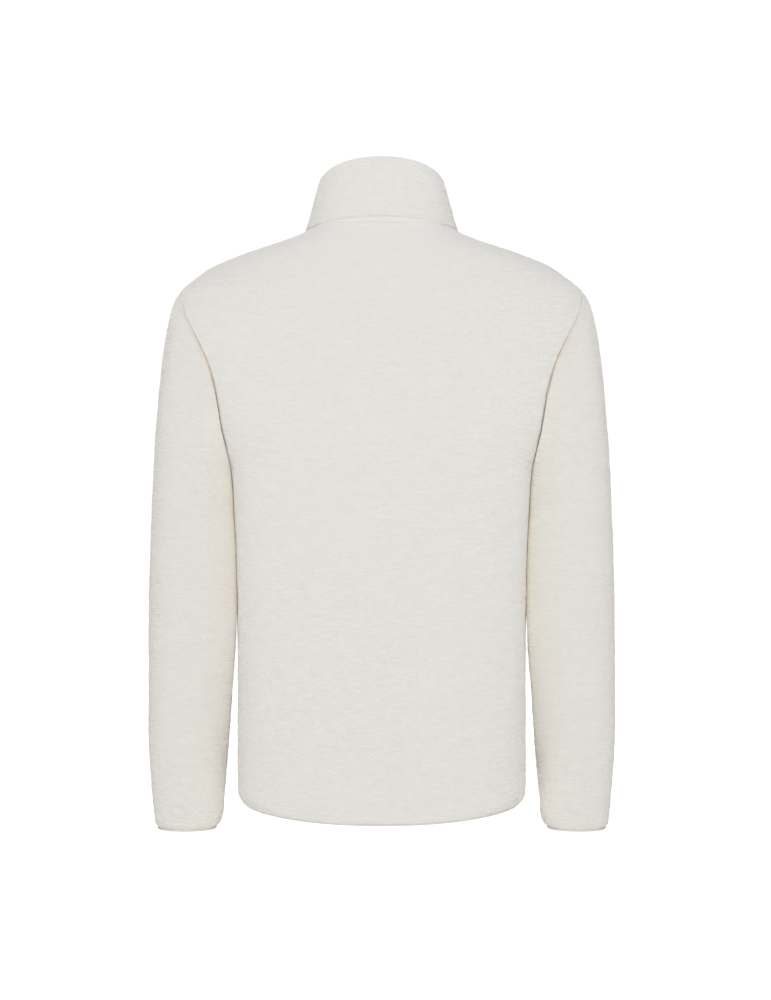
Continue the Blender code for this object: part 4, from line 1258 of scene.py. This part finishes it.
def make_collar(front, back):
    """Stand collar on the neck seam, leaning inwards, with a soft round top edge."""
    outer, inner, out, shares, below_top = collar_walls(front, back)
    near_top = 1 - ramp(below_top, COLLAR_EDGE_RADIUS)
    rounding = COLLAR_EDGE_FULLNESS * COLLAR_EDGE_RADIUS * (1 - np.sqrt(1 - near_top ** 2))
    from_seam = border_distance(outer, 0, from_end=False)
    sink = sunk(from_seam, **BORDERS["collar_seam"]) + COLLAR_SINK * np.sin(math.pi * shares)
    for from_end in (False, True):
        sink += sunk(border_distance(outer, 1, from_end), **BORDERS["collar_front"])
    to_side = ramp(np.abs(outer[..., 1]), COLLAR_PILE["full_from"])
    soft = COLLAR_PILE["at_sides"] + (1 - COLLAR_PILE["at_sides"]) * to_side
    smoothness = COLLAR_PILE["smoothness"]
    raised = outer + out * (soft * pile(outer, smoothness) - sink - rounding)[..., None]
    lift = rounding + COLLAR_PILE["lining"] * pile(inner, smoothness)
    lining = inner + out * lift[..., None]
    lining[0] = inner[0]
    # Painted warm shade along the collar seam, above the neck strip.
    along_strip = NECK_STRIP["shaded_to"] - np.abs(outer[..., 0]) / NECK_STRIP["half_width"]
    above_strip = np.clip(along_strip, 0, 1) * (outer[..., 1] > 0)
    shade = above_strip * seam_shade(from_seam, "collar_seam")
    piece = cloth(
        "collar_cloth", raised, lining, COLLAR_FLEECE, step=1, marks={SEAM_SHADE: shade}
    )
    belongs(piece, "collar")
    return inner, out


def make_neck_strip(back_outer):
    """A crescent on the back panel, just below the collar seam, set into the pile."""
    keep = np.abs(back_outer[-1, :, 0]) <= NECK_STRIP["half_width"]
    line, below = back_outer[-1, keep], back_outer[-3, keep]
    run = unit(below - line)
    out = unit(np.cross(run, np.gradient(line, axis=0)))
    out *= np.sign(out[:, 1:2])
    fullness = 1 - (np.abs(line[:, 0]) / NECK_STRIP["half_width"]) ** NECK_STRIP["taper"]
    width = NECK_STRIP["end_depth"] + (NECK_STRIP["depth"] - NECK_STRIP["end_depth"]) * fullness
    lift = NECK_STRIP["end_lift"] + (NECK_STRIP["lift"] - NECK_STRIP["end_lift"]) * fullness
    strength = STRIP_END_SHADE + (1 - STRIP_END_SHADE) * fullness
    outer, inner, shade = [], [], []
    for share in np.linspace(0, 1, NECK_STRIP["rows"]):
        at = line + run * (NECK_STRIP["start"] + share * width)[:, None]
        wave = math.sin(math.pi * (STRIP_SECTION["start"] + STRIP_SECTION["run"] * share))
        height = wave ** STRIP_SECTION["roundness"]
        outer.append(at + (height * lift)[:, None] * out)
        inner.append(at - NECK_STRIP["set_in"] * out)
        # Painted warm shade along the strip's top and foot.
        edges = seam_shade(share, "strip_top") + seam_shade(1 - share, "strip_foot")
        shade.append(strength * edges)
    piece = cloth(
        "neck_strip_cloth", np.array(outer), np.array(inner), STRIP_FLEECE, step=1,
        marks={SEAM_SHADE: np.array(shade)},
    )
    belongs(piece, "neck_strip")


# ---------------------------------------------------------------- zip
def zip_line(front_inner, front_seams, collar_inner, collar_out):
    """The centre front from hem to collar top, seen from inside the cloth.

    Gives two columns of the cloth's inner points next to the zip, and the ways out.
    """
    run = np.gradient(front_inner[:, 0], axis=0)[:-1]
    out = unit(stack(0 * run[:, 0], -run[:, 2], run[:, 1]))
    seam = front_seams["neck_outer"][[0, INNER_STEP]]
    seam_in = front_seams["neck_in"][[0, INNER_STEP]]
    inside = slice(1, int(COLLAR_ROW_CELLS * TAPE_TOP_SHARE))
    ways = np.concatenate((out, -seam_in[:1], collar_out[inside, 0]))
    ways[:, 0] = 0.0
    inner = np.concatenate((
        front_inner[:-1, [0, INNER_STEP]],
        (seam + WALL * seam_in)[None],
        collar_inner[inside][:, [0, INNER_STEP]],
    ))
    return {"ways": unit(ways), "inner": inner}


def make_tapes(zip_run):
    """Two zip tapes behind the edges of the fronts and the collar."""
    near, far = zip_run["inner"][:, 0], zip_run["inner"][:, 1]
    reach = (TAPE_HALF_WIDTH - near[:, 0]) / (far[:, 0] - near[:, 0])
    edge = near + (far - near) * reach[:, None]
    middle = near.copy()
    middle[:, 0] = SEAM_GAP / 2
    columns = np.stack((middle, (middle + near) / 2, near, edge), axis=1)
    ways = zip_run["ways"][:, None]
    face = columns - TAPE_CLEAR * ways
    rear = columns - (TAPE_CLEAR + TAPE_THICKNESS) * ways
    for side, place in SIDES:
        piece = cloth(f"zip_tape_cloth_{side}", place(face), place(rear), TAPE, step=1)
        belongs(piece, f"zip_tape_{side}")


def resampled(line, ways, distances):
    """Points of a line, and the ways out there, at distances along it."""
    return read_along(line, line, distances), unit(read_along(line, ways, distances))


def framed(at, out, along):
    """A matrix whose X axis lies across the zip, Y into the cloth and Z along it."""
    z = Vector(along).normalized()
    y = -Vector(out).normalized()
    x = y.cross(z).normalized()
    turn = Matrix((x, y, z)).transposed().to_4x4()
    return Matrix.Translation(Vector(at)) @ turn


def tooth_mesh():
    """One zip tooth: a block with a rounded head, about its own middle."""
    bm = bmesh.new()
    bmesh.ops.create_cube(bm, size=1.0)
    bmesh.ops.scale(
        bm, vec=(TEETH["width"], TEETH["thickness"], TEETH["height"]), verts=bm.verts
    )
    head = [edge for edge in bm.edges if all(vert.co.x < 0 for vert in edge.verts)]
    bmesh.ops.bevel(
        bm, geom=head, offset=TEETH["rounding"], segments=2, profile=0.5, affect="EDGES",
        material=-1,
    )
    return bm


def repeated(bm, matrices):
    """Copies of one small shape, each put in place by its matrix, in one mesh."""
    pattern = bm.verts[:] + bm.edges[:] + bm.faces[:]
    first = bm.verts[:]
    for matrix in matrices[1:]:
        copied = bmesh.ops.duplicate(bm, geom=pattern)["geom"]
        moved = [part for part in copied if isinstance(part, bmesh.types.BMVert)]
        bmesh.ops.transform(bm, matrix=matrix, verts=moved)
    bmesh.ops.transform(bm, matrix=matrices[0], verts=first)
    return bm


def make_teeth(zip_run):
    """Two rows of teeth, half a pitch apart, from the box to the slider."""
    line = zip_run["inner"][:, 0] - (TAPE_CLEAR - TEETH["thickness"] / 2) * zip_run["ways"]
    length = distances_along(line)[-1]
    count = int((length - SLIDER_FOOT - BOX_TOP) / TEETH["pitch"])
    for side, shift in (("left", 0.0), ("right", TEETH["offset"])):
        distances = BOX_TOP + TEETH["pitch"] * (np.arange(count) + 0.5 + shift)
        at, out = resampled(line, zip_run["ways"], distances)
        along = unit(np.gradient(at, axis=0))
        sign = 1.0 if side == "left" else -1.0
        at[:, 0] = sign * (TEETH["width"] / 2 - TEETH["reach"])
        matrices = []
        for point, way, run in zip(at, out, along):
            place = framed(point, way, run)
            facing = place.to_3x3().col[0].x * sign
            matrices.append(place if facing > 0 else place @ Matrix.Rotation(math.pi, 4, "Y"))
        bm = repeated(tooth_mesh(), matrices)
        piece = finish_mesh(f"zip_teeth_{side}", bm, TOOTH, smooth_below=35.0)
        belongs(piece, slot="zip_slider")


def stitch_mesh():
    """One stitch: a ball drawn out along Z."""
    bm = bmesh.new()
    bmesh.ops.create_icosphere(bm, subdivisions=1, radius=STITCH["radius"])
    stretch = STITCH["length"] / (2 * STITCH["radius"])
    bmesh.ops.scale(bm, vec=(1.0, 1.0, stretch), verts=bm.verts)
    return bm


def make_stitching(outer, out):
    """A row of topstitching down each front, beside the zip."""
    to_zip = border_distance(outer, 1, from_end=False)
    column = np.argmin(np.abs(to_zip - ZIP_STITCH["edge"]), axis=1)
    rows = np.arange(len(outer))
    ways = out[rows, column]
    line = outer[rows, column] - STITCH["sunk"] * ways
    line[:, 0] = line[:, 0].mean()
    length = distances_along(line)[-1]
    distances = np.arange(STITCH["first"], length - STITCH["last"], STITCH["pitch"])
    at, way = resampled(line, ways, distances)
    along = unit(np.gradient(at, axis=0))
    matrices = [framed(*parts) for parts in zip(at, way, along)]
    for side in ("left", "right"):
        bm = repeated(stitch_mesh(), matrices)
        if side == "right":
            bmesh.ops.scale(bm, vec=(-1.0, 1.0, 1.0), verts=bm.verts)
        piece = finish_mesh(f"front_stitching_{side}", bm, THREAD)
        belongs(piece, slot=f"front_{side}")


# ---------------------------------------------------------------- the jacket
back_outer, back_seams = make_back()
front_outer, front_inner, front_out, front_seams = make_fronts()
for side, place in SIDES:
    make_sleeve(side, place)
make_hem_binding(front_seams, back_seams)
collar_inner, collar_out = make_collar(front_seams, back_seams)
make_neck_strip(back_outer)
centre = zip_line(front_inner, front_seams, collar_inner, collar_out)
make_tapes(centre)
make_teeth(centre)
make_stitching(front_outer, front_out)

for name in ("zip_slider", "zip_pull_tab", "zip_box"):
    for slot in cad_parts[name].material_slots:
        slot.material = SILVER


# ---------------------------------------------------------------- stage, light and camera
WHITE = (1.0, 1.0, 1.0)
BRIGHTNESS_SEEN = 1.05     # of the floor and the ground behind, as the camera sees them
WORLD_LIGHT = 0.313
FLOOR = {"height": -1.45, "radius": 14.0, "colour": (0.900, 0.868, 0.808), "glow": 0.20}


def floor_material():
    """A floor that gives a soft bounce and is seen as bright as the ground behind."""
    finish, tree, shader, _ = new_material("pale_floor", 1.0)
    shader.inputs["Base Color"].default_value = (*FLOOR["colour"], 1.0)
    shader.inputs["Specular IOR Level"].default_value = 0.0
    shader.inputs["Emission Color"].default_value = (*WHITE, 1.0)
    straight = tree.nodes.new("ShaderNodeLightPath").outputs["Is Camera Ray"]
    brighter = math_node(tree, "MULTIPLY", straight, BRIGHTNESS_SEEN - FLOOR["glow"])
    glow = math_node(tree, "ADD", brighter, FLOOR["glow"])
    tree.links.new(glow, shader.inputs["Emission Strength"])
    return finish


def make_floor():
    bm = bmesh.new()
    bmesh.ops.create_circle(bm, cap_ends=True, segments=96, radius=FLOOR["radius"])
    bmesh.ops.translate(bm, vec=(0.0, 0.0, FLOOR["height"]), verts=bm.verts)
    mesh = bpy.data.meshes.new("floor")
    bm.to_mesh(mesh)
    bm.free()
    mesh.materials.append(floor_material())
    floor = bpy.data.objects.new("floor", mesh)
    bpy.context.scene.collection.objects.link(floor)


def make_world():
    """A white studio: the camera sees it bright, and it lights the jacket softly."""
    world = bpy.data.worlds.new("studio")
    bpy.context.scene.world = world
    world.use_nodes = True
    tree = world.node_tree
    tree.nodes.clear()
    backgrounds = []
    for strength in (WORLD_LIGHT, BRIGHTNESS_SEEN):
        made = node(tree, "ShaderNodeBackground", sockets={
            "Color": (*WHITE, 1.0), "Strength": strength})
        backgrounds.append(made.outputs[0])
    ray = tree.nodes.new("ShaderNodeLightPath").outputs["Is Camera Ray"]
    mix = node(tree, "ShaderNodeMixShader", sockets={0: ray, 1: backgrounds[0], 2: backgrounds[1]})
    out = tree.nodes.new("ShaderNodeOutputWorld")
    tree.links.new(mix.outputs[0], out.inputs["Surface"])


def area_light(name, place, target, size, power):
    light = bpy.data.lights.new(name, "AREA")
    light.shape = "DISK"
    light.size = size
    light.energy = power
    made = bpy.data.objects.new(name, light)
    made.location = place
    way = Vector(target) - Vector(place)
    made.rotation_euler = way.to_track_quat("-Z", "Y").to_euler()
    bpy.context.scene.collection.objects.link(made)


def make_camera():
    """Level with the jacket's middle, looking at its back along -Y."""
    data = bpy.data.cameras.new("camera")
    data.sensor_fit = "VERTICAL"
    data.sensor_height = 36.0
    data.lens = 80.0
    camera = bpy.data.objects.new("camera", data)
    camera.location = (-0.0044, 2.6, -0.314)
    camera.rotation_euler = (math.radians(90.0), 0.0, math.radians(180.0))
    bpy.context.scene.collection.objects.link(camera)
    bpy.context.scene.camera = camera


make_floor()
make_world()
area_light("key", (0.0, 3.2, 1.6), target=(0.0, 0.0, -0.3), size=2.6, power=42.4)
area_light("fill", (0.0, 3.4, -0.6), target=(0.0, 0.0, -0.4), size=5.0, power=40.3)
area_light("front_fill", (0.6, -3.0, 0.8), target=(0.0, 0.0, -0.3), size=2.6, power=42.0)
make_camera()
bpy.context.scene.view_settings.view_transform = "Standard"
